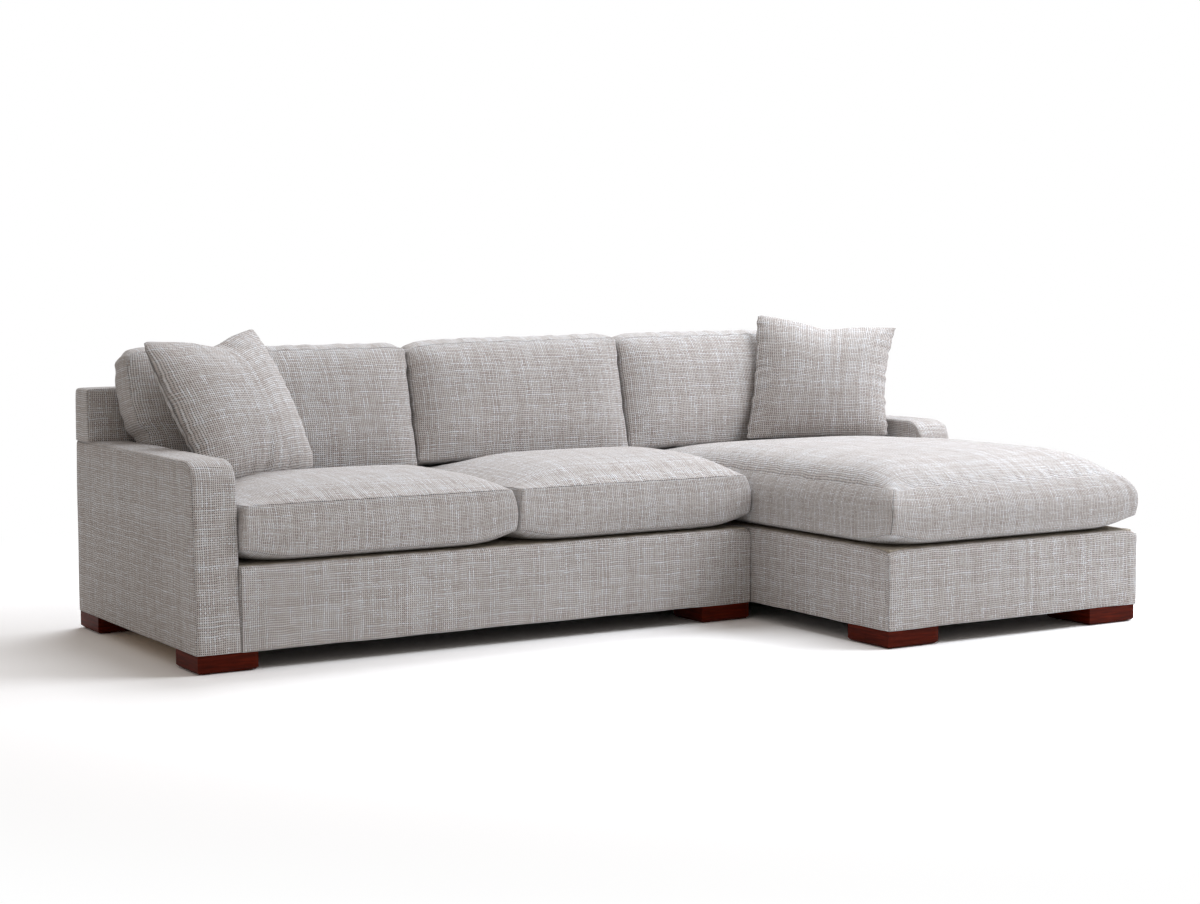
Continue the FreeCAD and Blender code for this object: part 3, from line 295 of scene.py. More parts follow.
# %% Woven linen blend
CLOTH_UV = "cloth"
WANDER = 10 * MM
WANDERS_PER_METRE = 14.0
YARN_LIFT = 0.4
# Gain and start of the painted shade in the gaps between the yarns
YARN_GAP_PAINTED_SHADE = (1.7, -0.55)
# Strength of the painted shade along the seams
PAINTED_SEAM_SHADE = 0.55
PATCH_TONE = (0.14, 0.93)


def woven_cloth():
    material, tree = new_material("woven_linen_blend_grey")
    flat = add(tree, "ShaderNodeUVMap", uv_map=CLOTH_UV).outputs["UV"]
    wander = noise(tree, flat, WANDERS_PER_METRE, 1.0).outputs["Color"]
    shifted = vectors(tree, "SUBTRACT", wander, (0.5, 0.5, 0.5))
    bent = vectors(tree, "MULTIPLY_ADD", shifted, (WANDER, WANDER, 0), flat)
    counted = vectors(tree, "MULTIPLY", bent, (1 / YARN_PITCH,) * 3)
    split = add(tree, "ShaderNodeSeparateXYZ", {0: counted}).outputs
    warp_number, warp_round = yarn_rows(tree, split["X"])
    weft_number, weft_round = yarn_rows(tree, split["Y"])
    crossing = maths(tree, "ADD", warp_number, weft_number)
    parity = maths(tree, "COSINE", maths(tree, "MULTIPLY", crossing, math.pi))
    heights = []
    for own, other, lift in ((warp_round, weft_round, YARN_LIFT),
                             (weft_round, warp_round, -YARN_LIFT)):
        lifted = maths(tree, "MULTIPLY", parity, other)
        lifted = maths(tree, "MULTIPLY_ADD", lifted, lift, 1 - YARN_LIFT)
        heights.append(maths(tree, "MULTIPLY", own, lifted))
    difference = maths(tree, "SUBTRACT", *heights)
    warp_on_top = maths(tree, "MULTIPLY_ADD", difference, 5.0, 0.5, clamp=True)
    warp = yarn_colour(tree, warp_number, split["Y"], 3.0)
    weft = yarn_colour(tree, weft_number, split["X"], 11.0)
    yarns = add(tree, "ShaderNodeMix", {"Factor": warp_on_top, 6: weft, 7: warp},
                data_type="RGBA").outputs[2]
    # Painted shade between the yarns: where neither yarn is high, the colour is darkened
    gap = maths(tree, "MAXIMUM", warp_round, weft_round)
    painted_shade_and_patches = maths(tree, "MULTIPLY_ADD", gap, *YARN_GAP_PAINTED_SHADE, clamp=True)
    # Painted shade in the seam furrows and beside the gap between the modules, from the stored seam
    # values; the patches are the cloth's own uneven tone
    seam = add(tree, "ShaderNodeAttribute", attribute_name="seam").outputs["Fac"]
    patch = noise(tree, flat, 5.0, 2.0).outputs["Fac"]
    for pattern, gain, start in ((seam, -PAINTED_SEAM_SHADE, 1.0), (patch, *PATCH_TONE)):
        painted_shade_and_patches = maths(tree, "MULTIPLY", painted_shade_and_patches, maths(tree, "MULTIPLY_ADD", pattern, gain, start))
    colour = add(tree, "ShaderNodeMix", {"Factor": 1.0, 6: yarns, 7: painted_shade_and_patches}, data_type="RGBA",
                 blend_type="MULTIPLY").outputs[2]
    finish_surface(tree, colour, maths(tree, "MAXIMUM", *heights), 0.55, 1.2 * MM, {
        "Roughness": 0.88, "Specular IOR Level": 0.25, "Sheen Weight": 0.12,
        "Sheen Roughness": 0.5})
    return material


# %% [markdown]
# ## Mahogany legs
# The legs are blocks of a red-brown hardwood, stained and finished with a satin lacquer. The
# grain runs level, as it does in a block cut from a plank: long pale and dark fibres with fine
# pores between. The lacquer is a thin clear coat over the stain.

# %% Satin-lacquered mahogany
STAIN_STOPS = ((0.0, "#280601"), (0.45, "#461003"), (0.75, "#5c1907"), (1.0, "#742a12"))


def drawn_out(tree, shares, detail, **inputs):
    """Noise from object coordinates that are scaled so that it draws out along one axis."""
    place = vectors(tree, "MULTIPLY", add(tree, "ShaderNodeTexCoord").outputs["Object"], shares)
    return noise(tree, place, 1.0, detail, **inputs).outputs["Fac"]


def lacquered_mahogany():
    material, tree = new_material("satin_lacquered_mahogany")
    fibres = drawn_out(tree, (9, 9, 150), 5.0, Roughness=0.62, Distortion=0.6)
    pores = drawn_out(tree, (60, 60, 1500), 2.0)
    tone = maths(tree, "MULTIPLY_ADD", fibres, 1.5, -0.42)
    stain = ramp(tree, maths(tree, "MULTIPLY_ADD", pores, 0.35, tone), STAIN_STOPS)
    finish_surface(tree, stain, pores, 0.12, 0.3 * MM, {
        "Roughness": 0.5, "Specular IOR Level": 0.06, "Coat Weight": 0.02, "Coat Roughness": 0.25})
    return material


# %% [markdown]
# ## Materials inside and underneath
# These pieces show only from below or when a cushion is lifted out, but each is still finished:
# sawn pine and ply, bright zinc-plated steel, black nylon clips, elastic webbing, a black
# non-woven dust cloth, and a pale needled felt on the deck.

# %% Frame wood, steel, plastic and the plain cloths
def grained(name, shares, dark, pale, roughness, depth, specular=0.5, metallic=0.0, start=0.3):
    """Material with one drawn-out noise for its colour and relief."""
    material, tree = new_material(name)
    pattern = drawn_out(tree, shares, 4.0, Roughness=0.6)
    colour = ramp(tree, pattern, ((start, dark), (1 - start, pale)))
    finish_surface(tree, colour, pattern, 0.3, depth * MM, {
        "Roughness": roughness, "Metallic": metallic, "Specular IOR Level": specular})
    return material


SLOT_MATERIALS = {
    "woven_cloth": woven_cloth(),
    "leg_wood": lacquered_mahogany(),
    "frame_wood": grained("sawn_pine_and_ply", (12, 12, 120), "#b98f5f", "#d9b988", 0.75, 0.4),
    "steel": grained("zinc_plated_steel", (90,) * 3, "#8f9296", "#b4b7ba", 0.34, 0.05,
                     metallic=1.0),
    "clip_plastic": grained("black_moulded_nylon", (500,) * 3, "#1c1c1e", "#2a2a2d", 0.5, 0.05),
    "webbing": grained("elastic_webbing", (40, 900, 900), "#6f5a44", "#c9b79c", 0.85, 0.4, 0.2,
                       start=0.35),
    "dust_cloth": grained("black_non_woven_dust_cloth", (420,) * 3, "#121214", "#242428", 0.9, 0.25,
                          0.2),
    "deck_felt": grained("needled_deck_felt", (160,) * 3, "#a39a8c", "#cdc6ba", 0.95, 0.6, 0.1),
    "glide_felt": grained("pressed_grey_felt", (300,) * 3, "#4b4845", "#6d6965", 0.95, 0.3, 0.1),
}
SLOT_MATERIALS["filling"] = SLOT_MATERIALS["deck_felt"]

# %% Give the rigid pieces their materials
slot_of_node = {part["node"]: part["material_slot"] for part in frame["record"]["subparts"]}
for name, piece in nodes.items():
    piece.data.materials.clear()
    piece.data.materials.append(SLOT_MATERIALS[slot_of_node[name]])
print("slots:", sorted(set(slot_of_node.values())))

# %% [markdown]
# ## Sewn panels
# Every soft piece of this sofa is sewn the same way: two flat face panels, and a strip between
# them, which upholsterers call the boxing. So one function can lay out any of them as a grid of
# quads: it keeps the cells of a plan that lie inside the outline, repeats them for the second
# face, and runs the boxing round the edge. Each panel also keeps its own flat coordinates in
# metres, as if it still lay on the cutting table. A second function then gives each point its
# place in space. Rows of points lie close together beside each seam, because the seam is a
# narrow furrow where the cloth turns in.

# %% Rows of points, and a mesh from points
SEAM_ROWS = mm(2.5, 11)


def rows_between(low, high, step, breaks=()):
    """Places from low to high, about a step apart, with close rows beside both ends."""
    ends = [low, *sorted(breaks), high]
    near = SEAM_ROWS[1]
    places = []
    for start, stop in zip(ends, ends[1:]):
        count = max(1, round((stop - start - 2 * near) / step))
        middle = np.linspace(start + near, stop - near, count + 1)
        places += [start, start + SEAM_ROWS[0], *middle, stop - SEAM_ROWS[0]]
    return np.array(places + [high])


def make_piece(name, points, faces, flats):
    """Object from points and faces, with the flat coordinates of every face's corners."""
    mesh = bpy.data.meshes.new(name)
    mesh.from_pydata(points.tolist(), [], faces)
    layer = mesh.uv_layers.new(name=CLOTH_UV)
    layer.data.foreach_set("uv", np.array([pair for flat in flats for pair in flat]).ravel())
    mesh.polygons.foreach_set("use_smooth", [True] * len(mesh.polygons))
    piece = bpy.data.objects.new(name, mesh)
    scene.collection.objects.link(piece)
    return piece


# %% Lay out a sewn shape
def sewn_shape(name, us, vs, ws, place, depth, keep=None, open_below=-math.inf, flat_scale=1.0):
    """Piece of two face panels and the boxing between them, and the u, v and w of its points.

    The plan is a grid over us and vs, and ws are the rows of the boxing from 0 to 1. The function
    place turns arrays of u, v and w into points. Edges along v = open_below get no boxing. With a
    depth of 0 the faces are sewn edge to edge, and are cut from different places of the cloth.
    """
    index, grid, faces, flats = {}, [], [], []
    top, apart = len(ws) - 1, 0 if depth else 1

    def corner(i, j, k):
        if not depth and (i in (0, len(us) - 1) or j in (0, len(vs) - 1)):
            k = top
        if (i, j, k) not in index:
            index[i, j, k] = len(grid)
            grid.append((us[i], vs[j], ws[k]))
        return index[i, j, k]

    rim = set()
    for i in range(len(us) - 1):
        for j in range(len(vs) - 1):
            if keep and not keep((us[i] + us[i + 1]) / 2, (vs[j] + vs[j + 1]) / 2):
                continue
            ring = ((i, j), (i + 1, j), (i + 1, j + 1), (i, j + 1))
            for level, loop in ((top, ring), (0, ring[::-1])):
                faces.append([corner(a, b, level) for a, b in loop])
                flats.append([(us[a] * flat_scale + apart * level, vs[b] * flat_scale)
                              for a, b in loop])
            for a, b in zip(ring, ring[1:] + ring[:1]):
                rim ^= {(a, b)} if (b, a) not in rim else {(b, a)}
    follow = dict(rim)
    here, along = min(follow), 0.0
    for _ in range(len(follow) if depth else 0):
        there = follow[here]
        ahead = along + math.hypot(us[there[0]] - us[here[0]], vs[there[1]] - vs[here[1]])
        if max(vs[here[1]], vs[there[1]]) >= open_below + MM:
            for k in range(top):
                faces.append([corner(*here, k), corner(*there, k), corner(*there, k + 1),
                              corner(*here, k + 1)])
                low, high = ws[k] * depth, ws[k + 1] * depth
                flats.append([(along, low), (ahead, low), (ahead, high), (along, high)])
        here, along = there, ahead
    u, v, w = np.array(grid).T
    return make_piece(name, place(u, v, w), faces, flats), u, v, w


def store_painted_shade(piece, on_seam):
    """Store how much painted shade the cloth material puts at each point: along a seam, and beside
    the gap between the modules.
    """
    # The attribute seam holds the strength of the painted shade
    layer = piece.data.attributes.new("seam", "FLOAT", "POINT")
    layer.data.foreach_set("value", np.asarray(on_seam, dtype=float))


# %% [markdown]
# ## Shared curves
# A padded edge is a quarter round with the seam in the middle of it. A few small curves are
# shared by all the soft pieces: that quarter round, the rise of a stuffed panel from its seam, a
# value that fades with distance, and the turning of a square plan corner into a round one.

# %% Distances and fades
def on_faces(w):
    """True for the points of the two face panels, and False for those inside the boxing."""
    return (w == 0) | (w == 1)


def plan_sides(u, v, low, high):
    """Distances to the left, right, front and rear side of a plan."""
    return u - low.x, high.x - u, v - low.y, high.y - v


def nearest(*distances):
    return np.minimum.reduce(distances)


def fade(distance, reach):
    return np.exp(-np.maximum(distance, 0) / reach)


def rise(distance, reach, fullness=2):
    """0 at the seam, 1 further in than the reach."""
    return 1 - (1 - np.clip(distance / reach, 0, 1)) ** fullness


# %% Round edges and corners
def padded_edge(distance, radius, sink):
    """Place along its own side, and depth below it, of a point at a distance from the seam."""
    angle = np.pi / 4 * (1 - np.clip(distance / radius, 0, 1))
    furrow = np.where(distance < SEAM_ROWS[0] / 2, sink, 0.0)
    along = np.where(distance < radius, radius * (1 - np.sin(angle)), distance)
    return along + furrow, radius * (1 - np.cos(angle)) + furrow


def round_corner(du, dv, radius):
    """Moves for points within a plan corner, whose distances to its two sides are du and dv."""
    a = np.clip(1 - du / radius, 0, 1)
    b = np.clip(1 - dv / radius, 0, 1)
    return (a - a * np.sqrt(1 - b * b / 2)) * radius, (b - b * np.sqrt(1 - a * a / 2)) * radius


def round_corners(x, y, *corners):
    """Round corners in place: each has two distances, their inward signs, and a radius."""
    for side, end, sign_x, sign_y, radius in corners:
        move_x, move_y = round_corner(side, end, radius)
        x += sign_x * move_x
        y += sign_y * move_y


def padded_box(u, v, w, depth, sides, radius, sink):
    """Rounded u, v and height of a padded box. A side is a distance and its inward direction."""
    height = w * depth
    box_along, box_deep = padded_edge(np.minimum(height, depth - height), radius, 0)
    moved_u, moved_v, deep = u.copy(), v.copy(), np.zeros(len(u))
    for distance, inward_u, inward_v in sides:
        face_along, face_deep = padded_edge(distance, radius, sink)
        on_side = distance < SEAM_ROWS[0] / 2
        amount = np.where(on_faces(w), face_along - distance, np.where(on_side, box_deep, 0))
        moved_u += inward_u * amount
        moved_v += inward_v * amount
        deep = np.maximum(deep, np.where(on_faces(w), face_deep, 0))
    from_face = np.where(on_faces(w), deep, box_along)
    return moved_u, moved_v, np.where(height < depth / 2, from_face, depth - from_face)


# %% Unevenness and lip
SEAM_SINK = 2.0 * MM
HEM = 7 * MM
WAVES = 7
WAVE_SPREAD = 2.6


def read_points(mesh, what="co"):
    """Places or normals of all the points of a mesh, one in a row."""
    values = np.empty(len(mesh.vertices) * 3)
    mesh.vertices.foreach_get(what, values)
    return values.reshape(-1, 3)


def write_points(mesh, points):
    mesh.vertices.foreach_set("co", points.ravel())
    mesh.update()


def make_uneven(piece, amount, size, seed):
    """Move the points along their normals by smooth noise, as hand-laid padding does."""
    random = np.random.RandomState(seed)
    points, normals = read_points(piece.data), read_points(piece.data, "normal")
    total = np.zeros(len(points))
    for _ in range(WAVES):
        wave = random.normal(size=3)
        wave *= (0.5 + random.rand()) / size / np.linalg.norm(wave)
        total += np.sin(points @ wave * 2 * np.pi + random.rand() * 2 * np.pi)
    write_points(piece.data, points + normals * (total * amount / WAVE_SPREAD)[:, None])


def turn_under(piece, low, high):
    """Short inward lip along the open lower edge."""
    shape = bmesh.new()
    shape.from_mesh(piece.data)
    rim = [e for e in shape.edges if e.is_boundary]
    grown = bmesh.ops.extrude_edge_only(shape, edges=rim)["geom"]
    for vertex in (g for g in grown if isinstance(g, bmesh.types.BMVert)):
        vertex.co.x = min(max(vertex.co.x, low.x + HEM), high.x - HEM)
        vertex.co.y = min(max(vertex.co.y, low.y + HEM), high.y - HEM)
        vertex.co.z = low.z
    shape.to_mesh(piece.data)
    shape.free()


# %% Finish a soft piece
def smooth(piece):
    modifier = piece.modifiers.new("smooth_cloth", "SUBSURF")
    modifier.levels = modifier.render_levels = 1


def mount(piece, body, slot, *replaced):
    """Put a piece on its body in place of its CAD nodes, in its slot's material."""
    piece.data.materials.append(SLOT_MATERIALS[slot])
    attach(piece, body)
    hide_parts(*replaced)
    print(piece.name, "points:", len(piece.data.vertices))


def finish_cover(piece, body, node, amount, size, seed, is_open=True):
    """Last steps for the cloth over a frame or a rail."""
    make_uneven(piece, amount, size, seed)
    if is_open:
        turn_under(piece, *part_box(node))
    smooth(piece)
    mount(piece, body, "woven_cloth", node)


# %% [markdown]
# ## Arms
# An arm is a narrow box frame wrapped in foam. One band of cloth climbs its leaning front, turns
# over the top corner and runs to the back, and a side panel is sewn to each edge of the band.
# The left arm's corner is tighter at the outer side than at the seat, where the cloth is pulled
# round the foam. In the grid, the side panels are the faces and the band is the boxing. The arm
# is open below, where the cloth is turned under and stapled, so a short lip goes inwards there.

# %% Build the arms
ARM_LEAN = 26 * MM
ARM_EDGE = 13 * MM
ARM_SEAT_EDGE = 6 * MM
ARM_INNER_CORNER = 78 * MM
ARM_BULGE = 3.0 * MM
ARM_BULGE_START = 200 * MM
ARM_PAINTED_SEAM_SHADE = 0.4


def build_arm(side, module, outer_corner, seed):
    name = side + "_arm_cover"
    low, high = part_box(name)
    width, length, height = high.x - low.x, high.y - low.y, high.z - low.z

    def place(u, v, w):
        towards_seat = w if side == "left" else 1 - w
        front, top, rear = u - low.y, high.z - v, high.y - u
        edge = np.where(towards_seat > 0.5, ARM_SEAT_EDGE, ARM_EDGE)
        sides = ((front, 1, 0), (top, 0, -1), (rear, -1, 0))
        y, z, x = padded_box(u, v, w, width, sides, edge, SEAM_SINK)
        swell = ARM_BULGE * np.sin(np.pi * w)
        y -= swell * (front < MM)
        z += swell * (top < MM) * np.clip(rear / ARM_BULGE_START, 0, 1)
        radius = outer_corner + (ARM_INNER_CORNER - outer_corner) * towards_seat ** 1.5
        round_corners(y, z, (y - low.y, high.z - z, 1, -1, radius))
        y += ARM_LEAN * (z - low.z) / height * (high.y - y) / length
        return np.stack((low.x + x, y, z), 1)

    piece, u, v, w = sewn_shape(
        side + "_arm_upholstery", rows_between(low.y, high.y, 26 * MM),
        rows_between(low.z, high.z, 26 * MM), rows_between(0, width, 20 * MM) / width,
        place, width, open_below=low.z)
    # Painted shade along the band's front and top seams, at part strength
    store_painted_shade(piece, ARM_PAINTED_SEAM_SHADE * (on_faces(w) & ((u < low.y + MM) | (v > high.z - MM))))
    finish_cover(piece, module, name, 1.0 * MM, 260 * MM, seed)


build_arm("left", "sofa_module", 58 * MM, 11)
build_arm("right", "chaise_module", 76 * MM, 12)

# %% [markdown]
# ## Back frames
# Each back is a tall padded wall that tapers to its top. It passes behind the seat and steps
# over the arm, where its end block shows beside the cushion. The same grid makes it, seen from
# the front: the cells above the arm are kept, and those where the arm stands are left out.

# %% Build the backs
BACK_EDGE = 12 * MM
BACK_BULGE = 3.0 * MM
BACK_BULGE_REACH = 200 * MM
BACK_BLOCK_CORNER = 16 * MM
BACK_TOP_THICKNESS = 115 * MM
DECK_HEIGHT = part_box("sofa_front_border")[1].z
ARM_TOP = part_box("left_arm_cover")[1].z


def back_front(z, low, high):
    """Y of the front of a back at a height: upright to the deck, then leaning."""
    share = np.clip((z - DECK_HEIGHT) / (high.z - DECK_HEIGHT), 0, 1)
    return low.y + (high.y - BACK_TOP_THICKNESS - low.y) * share


def build_back(module, arm_side, seed):
    node = module + "_back_cover"
    low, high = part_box(node)
    arm_low, arm_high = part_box(arm_side + "_arm_cover")
    arm_is_left = arm_side == "left"
    step_x = arm_high.x if arm_is_left else arm_low.x
    depth = high.y - low.y

    def beside_arm(u):
        return u < step_x if arm_is_left else u > step_x

    def place(u, v, w):
        lower = v < ARM_TOP - MM
        left = np.where(lower & arm_is_left, u - step_x, u - low.x)
        right = np.where(lower & (not arm_is_left), step_x - u, high.x - u)
        top = high.z - v
        x, z, height = padded_box(u, v, w, depth, ((left, 1, 0), (right, -1, 0), (top, 0, -1)),
                                  BACK_EDGE, SEAM_SINK)
        round_corners(x, z, (left, top, 1, -1, BACK_BLOCK_CORNER),
                      (right, top, -1, -1, BACK_BLOCK_CORNER))
        y = high.y - height / depth * (high.y - back_front(z, low, high))
        swell = BACK_BULGE * math.prod(rise(side, BACK_BULGE_REACH) for side in (left, right, top))
        y += np.where(w == 0, swell * 0.5, 0) - np.where(w == 1, swell, 0)
        return np.stack((x, y, z), 1)

    piece, u, v, w = sewn_shape(
        module + "_back_upholstery", rows_between(low.x, high.x, 30 * MM, (step_x,)),
        rows_between(low.z, high.z, 28 * MM, (ARM_TOP,)), rows_between(0, depth, 24 * MM) / depth,
        place, depth, keep=lambda u, v: v > ARM_TOP or not beside_arm(u), open_below=low.z)
    at_side = (u < low.x + MM) | (u > high.x - MM)
    # Painted shade along the side and top seams
    store_painted_shade(piece, on_faces(w) & (at_side | (v > high.z - MM)))
    finish_cover(piece, module + "_module", node, 0.8 * MM, 300 * MM, seed)


build_back("sofa", "left", 21)
build_back("chaise", "right", 22)

# %% [markdown]
# ## Borders
# The border is the padded panel along the base, under the seat. It is a thin slab of foam on
# the rail with the cloth pulled over it, so it has a soft top edge and swells a little between
# its ends. Each one faces forward or to a side.

# %% Curves of a border
BORDER_EDGE = 11 * MM
BORDER_FOLD = 1.2 * MM
BORDER_CLEARANCE = 1.8 * MM
BORDER_DROOP = 12 * MM
BORDER_DROOP_REACH = 26 * MM
BORDER_TOP_PART = 80 * MM
BORDER_BULGE = 4.5 * MM
BORDER_RISES = mm(120, 100, 50, 50)
BORDER_ROWS = np.array((0, 0.4, 0.8, 1))
PAINTED_GAP_SHADE = 1.5
# Each facing gives the ends of a border, seen from outside, and turns u and out into x and y
FACINGS = {
    "front": (lambda low, high: (low.x, high.x), lambda low, high, u, out: (u, high.y - out)),
    "left": (lambda low, high: (-high.y, -low.y), lambda low, high, u, out: (high.x - out, -u)),
    "right": (lambda low, high: (low.y, high.y), lambda low, high, u, out: (low.x + out, u)),
}

# %% Build the borders
def build_border(node, facing, bulge, seed, droops, tuck):
    """A border cloth. Droops say how far its top corners sink, left and right, seen from outside.

    The tuck is how far its left end passes behind the arm's rounded edge. Its right end then
    stands at the gap between the modules, and painted shade darkens it there.
    """
    low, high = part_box(node)
    span, to_plan = FACINGS[facing]
    start, stop = span(low, high)
    depth = high.y - low.y if facing == "front" else high.x - low.x

    def place(u, v, w):
        left, right, top, bottom = u - start, stop - u, high.z - v, v - low.z
        u, z, out = padded_box(u, v, w, depth, ((left, 1, 0), (right, -1, 0)), BORDER_FOLD, 0)
        u -= tuck * (1 - w) * (left < MM)
        deep = BORDER_EDGE * (1 - np.sqrt(1 - np.clip(1 - top / BORDER_EDGE, 0, 1) ** 2))
        swell = bulge * math.prod(map(rise, (top, bottom, left, right), BORDER_RISES))
        sunk = sum(droop * fade(side, BORDER_DROOP_REACH)
                   for droop, side in zip(droops, (left, right)))
        z -= (sunk + BORDER_CLEARANCE) * np.clip(1 - top / BORDER_TOP_PART, 0, 1)
        out = np.where(w == 1, out - deep + swell, out)
        out = np.where((w < 1) & (w > 0) & (top < MM), w * (depth - BORDER_EDGE), out)
        return np.stack((*to_plan(low, high, u, out), z), 1)

    piece, u, v, w = sewn_shape(node + "_cloth", rows_between(start, stop, 26 * MM),
                                rows_between(low.z, high.z, 20 * MM), BORDER_ROWS, place, depth)
    # Painted shade: strong beside the gap between the modules, and full along the top seam at a
    # front border's left end
    beside_gap = (u > stop - MM) & (w > 0) & (tuck > 0)
    at_start = (w == 1) & (u < start + MM) & (facing == "front")
    store_painted_shade(piece, np.where(beside_gap, PAINTED_GAP_SHADE, at_start))
    finish_cover(piece, node.split("_")[0] + "_module", node, 0.9 * MM, 240 * MM, seed, False)


build_border("sofa_front_border", "front", BORDER_BULGE, 31, (0, BORDER_DROOP), 4 * MM)
build_border("sofa_end_border", "right", 0, 32, (0, 0), 0)
build_border("chaise_front_border", "front", BORDER_BULGE, 33, (BORDER_DROOP, BORDER_DROOP), 0)
build_border("chaise_left_border", "left", BORDER_BULGE / 3, 34, (0, BORDER_DROOP), 0)
build_border("chaise_right_border", "right", BORDER_BULGE, 35, (BORDER_DROOP, 0), 0)

# %% [markdown]
# ## Seat cushions
# A boxed seat cushion has a top panel, a bottom panel and a boxing strip, sewn round a foam
# block in a feather wrap. The top rises quickly from its seam and then levels out, and towards
# the back it falls away under the back cushions. The front of the boxing swells outwards. At
# the lower front corners the wrap is thin, so the corner lifts off the deck and a dark wedge
# shows there. These heights are measured ones, and the points are set from them.

# %% Curves of a seat cushion
RISE_FULLNESS = 3.2
FRONT_RISE_REACH = 1.2
RIGHT_RISE_REACH = 0.9
SEAM_DROP = 3 * MM
FRONT_SWELL = 12 * MM
SEAM_TUCK = 6 * MM
SIDE_TUCK = 2.5 * MM
TUCK_REACH = 30 * MM
TOP_TUCK = 13 * MM
TOP_TUCK_REACH = 90 * MM
LOWER_SEAM = 21 * MM
LOWER_SEAM_REACH = 90 * MM
CORNER_LIFT = 26 * MM
CORNER_LIFT_REACH = 90 * MM
SEAT_CORNER = 14 * MM
SEAT_SINK = 3.0 * MM
CORNER_SEAM_SINK = 1.6 * MM
PUCKER_DEPTH = 3.4 * MM
PUCKER_REACH = 34 * MM
PUCKER_WAVES = ((36 * MM, 0.4), (53 * MM, 2.1), (91 * MM, 4.4))
FAR_AWAY = 9.0
# Height of the ridge towards the back edge: distance and level, as shares of the thickness
SEAT_FALL = ((0, 0.30, 0.72, 1.02, 1.34, 1.66), (0.60, 0.71, 0.80, 0.88, 0.94, 0.962))
CHAISE_FALL = ((0, 0.30, 0.86, 1.31, 1.84, 2.50), (0.60, 0.71, 0.80, 0.86, 0.915, 0.95))


def puckers(along, across=0.0):
    """Uneven gathers of about -1 to 1 along a seam, slanting a little across it."""
    place = 2 * np.pi * (along + 0.35 * across)
    return sum(np.sin(place / wave + phase) for wave, phase in PUCKER_WAVES) / 2


def eased(x, table):
    """Smooth curve through a table, made by averaging it over a short stretch."""
    offsets = np.linspace(-0.16, 0.16, 9)
    return sum(np.interp(x + offset, *table) for offset in offsets) / len(offsets)


# %% Sides of a seat cushion
def seat_sides(u, v, low, high, arm):
    """Sides of the plan, and the distance to its right side or to the notch round the arm.

    A side is a distance, its inward direction, and whether it is the front.
    """
    left, right, front, rear = plan_sides(u, v, low, high)
    sides = [(left, 1, 0, False), (front, 0, 1, True), (rear, 0, -1, False)]
    if not arm:
        return sides + [(right, -1, 0, False)], right
    beside, behind = v > arm[1] - MM, u > arm[0] - MM
    sides += [(np.where(beside, FAR_AWAY, right), -1, 0, False),
              (np.where(beside, np.abs(arm[0] - u), FAR_AWAY), -1, 0, False),
              (np.where(behind, np.abs(arm[1] - v), FAR_AWAY), 0, -1, False)]
    to_arm = np.hypot(np.maximum(arm[0] - u, 0), np.maximum(arm[1] - v, 0))
    return sides, np.minimum(right, to_arm)


# %% Place the points of a seat cushion
def seat_place(low, high, seam_z, fall, left_rise, rounding, arm):
    """Function that places the points of a seat cushion between two corners.

    The left rise gives its reach and ease. The rounding is how far the boxing leans in at its top.
    """
    thickness = high.z - low.z
    sink = 0 if arm else SEAT_SINK

    def place(u, v, w):
        left, right, front, rear = plan_sides(u, v, low, high)
        sides, inner_right = seat_sides(u, v, low, high, arm)
        ridge = low.z + thickness * eased(rear / thickness, fall)
        seam = np.minimum(seam_z, ridge - SEAM_DROP)
        filled = (rise(front, FRONT_RISE_REACH * thickness, RISE_FULLNESS)
                  * rise(left, left_rise[0] * thickness, RISE_FULLNESS) ** left_rise[1]
                  * rise(inner_right, RIGHT_RISE_REACH * thickness, RISE_FULLNESS))
        gathered = fade(front, PUCKER_REACH) * np.clip(front / SEAM_ROWS[1], 0, 1)
        top = seam + (ridge - seam) * filled + PUCKER_DEPTH * puckers(u, front) * gathered
        edge = nearest(left, front, inner_right, rear)
        corner = sum(np.exp(-(side ** 2 + front ** 2) / CORNER_LIFT_REACH ** 2)
                     for side in (left, right))
        bottom = low.z + LOWER_SEAM * (1 - np.clip(edge / LOWER_SEAM_REACH, 0, 1)) ** 2
        bottom += CORNER_LIFT * corner
        z = np.where(w == 1, top, np.where(w == 0, bottom, bottom + (seam - bottom) * w))
        z -= np.where((w == 1) & (edge < MM), sink, 0)
        x, y = u.copy(), v.copy()
        for distance, inward_u, inward_v, is_front in sides:
            if is_front:
                tucked = SEAM_TUCK * w ** 3 - FRONT_SWELL * np.sin(np.pi * w ** 0.85)
                tucked += PUCKER_DEPTH / 3 * puckers(u) * w ** 4 * (1 - w) * 6
            else:
                tucked = SIDE_TUCK * (2 * w - 1) ** 2
                tucked += TOP_TUCK * w ** 3 * fade(front, TOP_TUCK_REACH)
            tucked += rounding * np.clip(w * 2 - 1, 0, 1) ** 2
            moved = tucked * fade(distance, TUCK_REACH + 3 * rounding)
            moved += sink * ((distance < MM) & on_faces(w))
            x += inward_u * moved
            y += inward_v * moved
        for side, sign in ((left, 1), (right, -1)):
            move_x, move_y = round_corner(side, front, SEAT_CORNER)
            corner_seam = CORNER_SEAM_SINK * ((side < MM) & (front < MM)) * bool(arm)
            x += sign * (move_x + corner_seam)
            y += move_y + corner_seam
        return np.stack((x, y, z), 1)

    return place


# %% Build the seat cushions
SOFT_GAP = 0.6 * MM
SPLIT_SHIFT = 6 * MM
COLUMN_SHARE = 0.7
SOFA_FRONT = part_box("sofa_front_border")[0].y
ARM_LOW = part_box("right_arm_cover")[0]
CHAISE_STEP = (ARM_LOW.x - SOFT_GAP, ARM_LOW.y - SOFT_GAP)


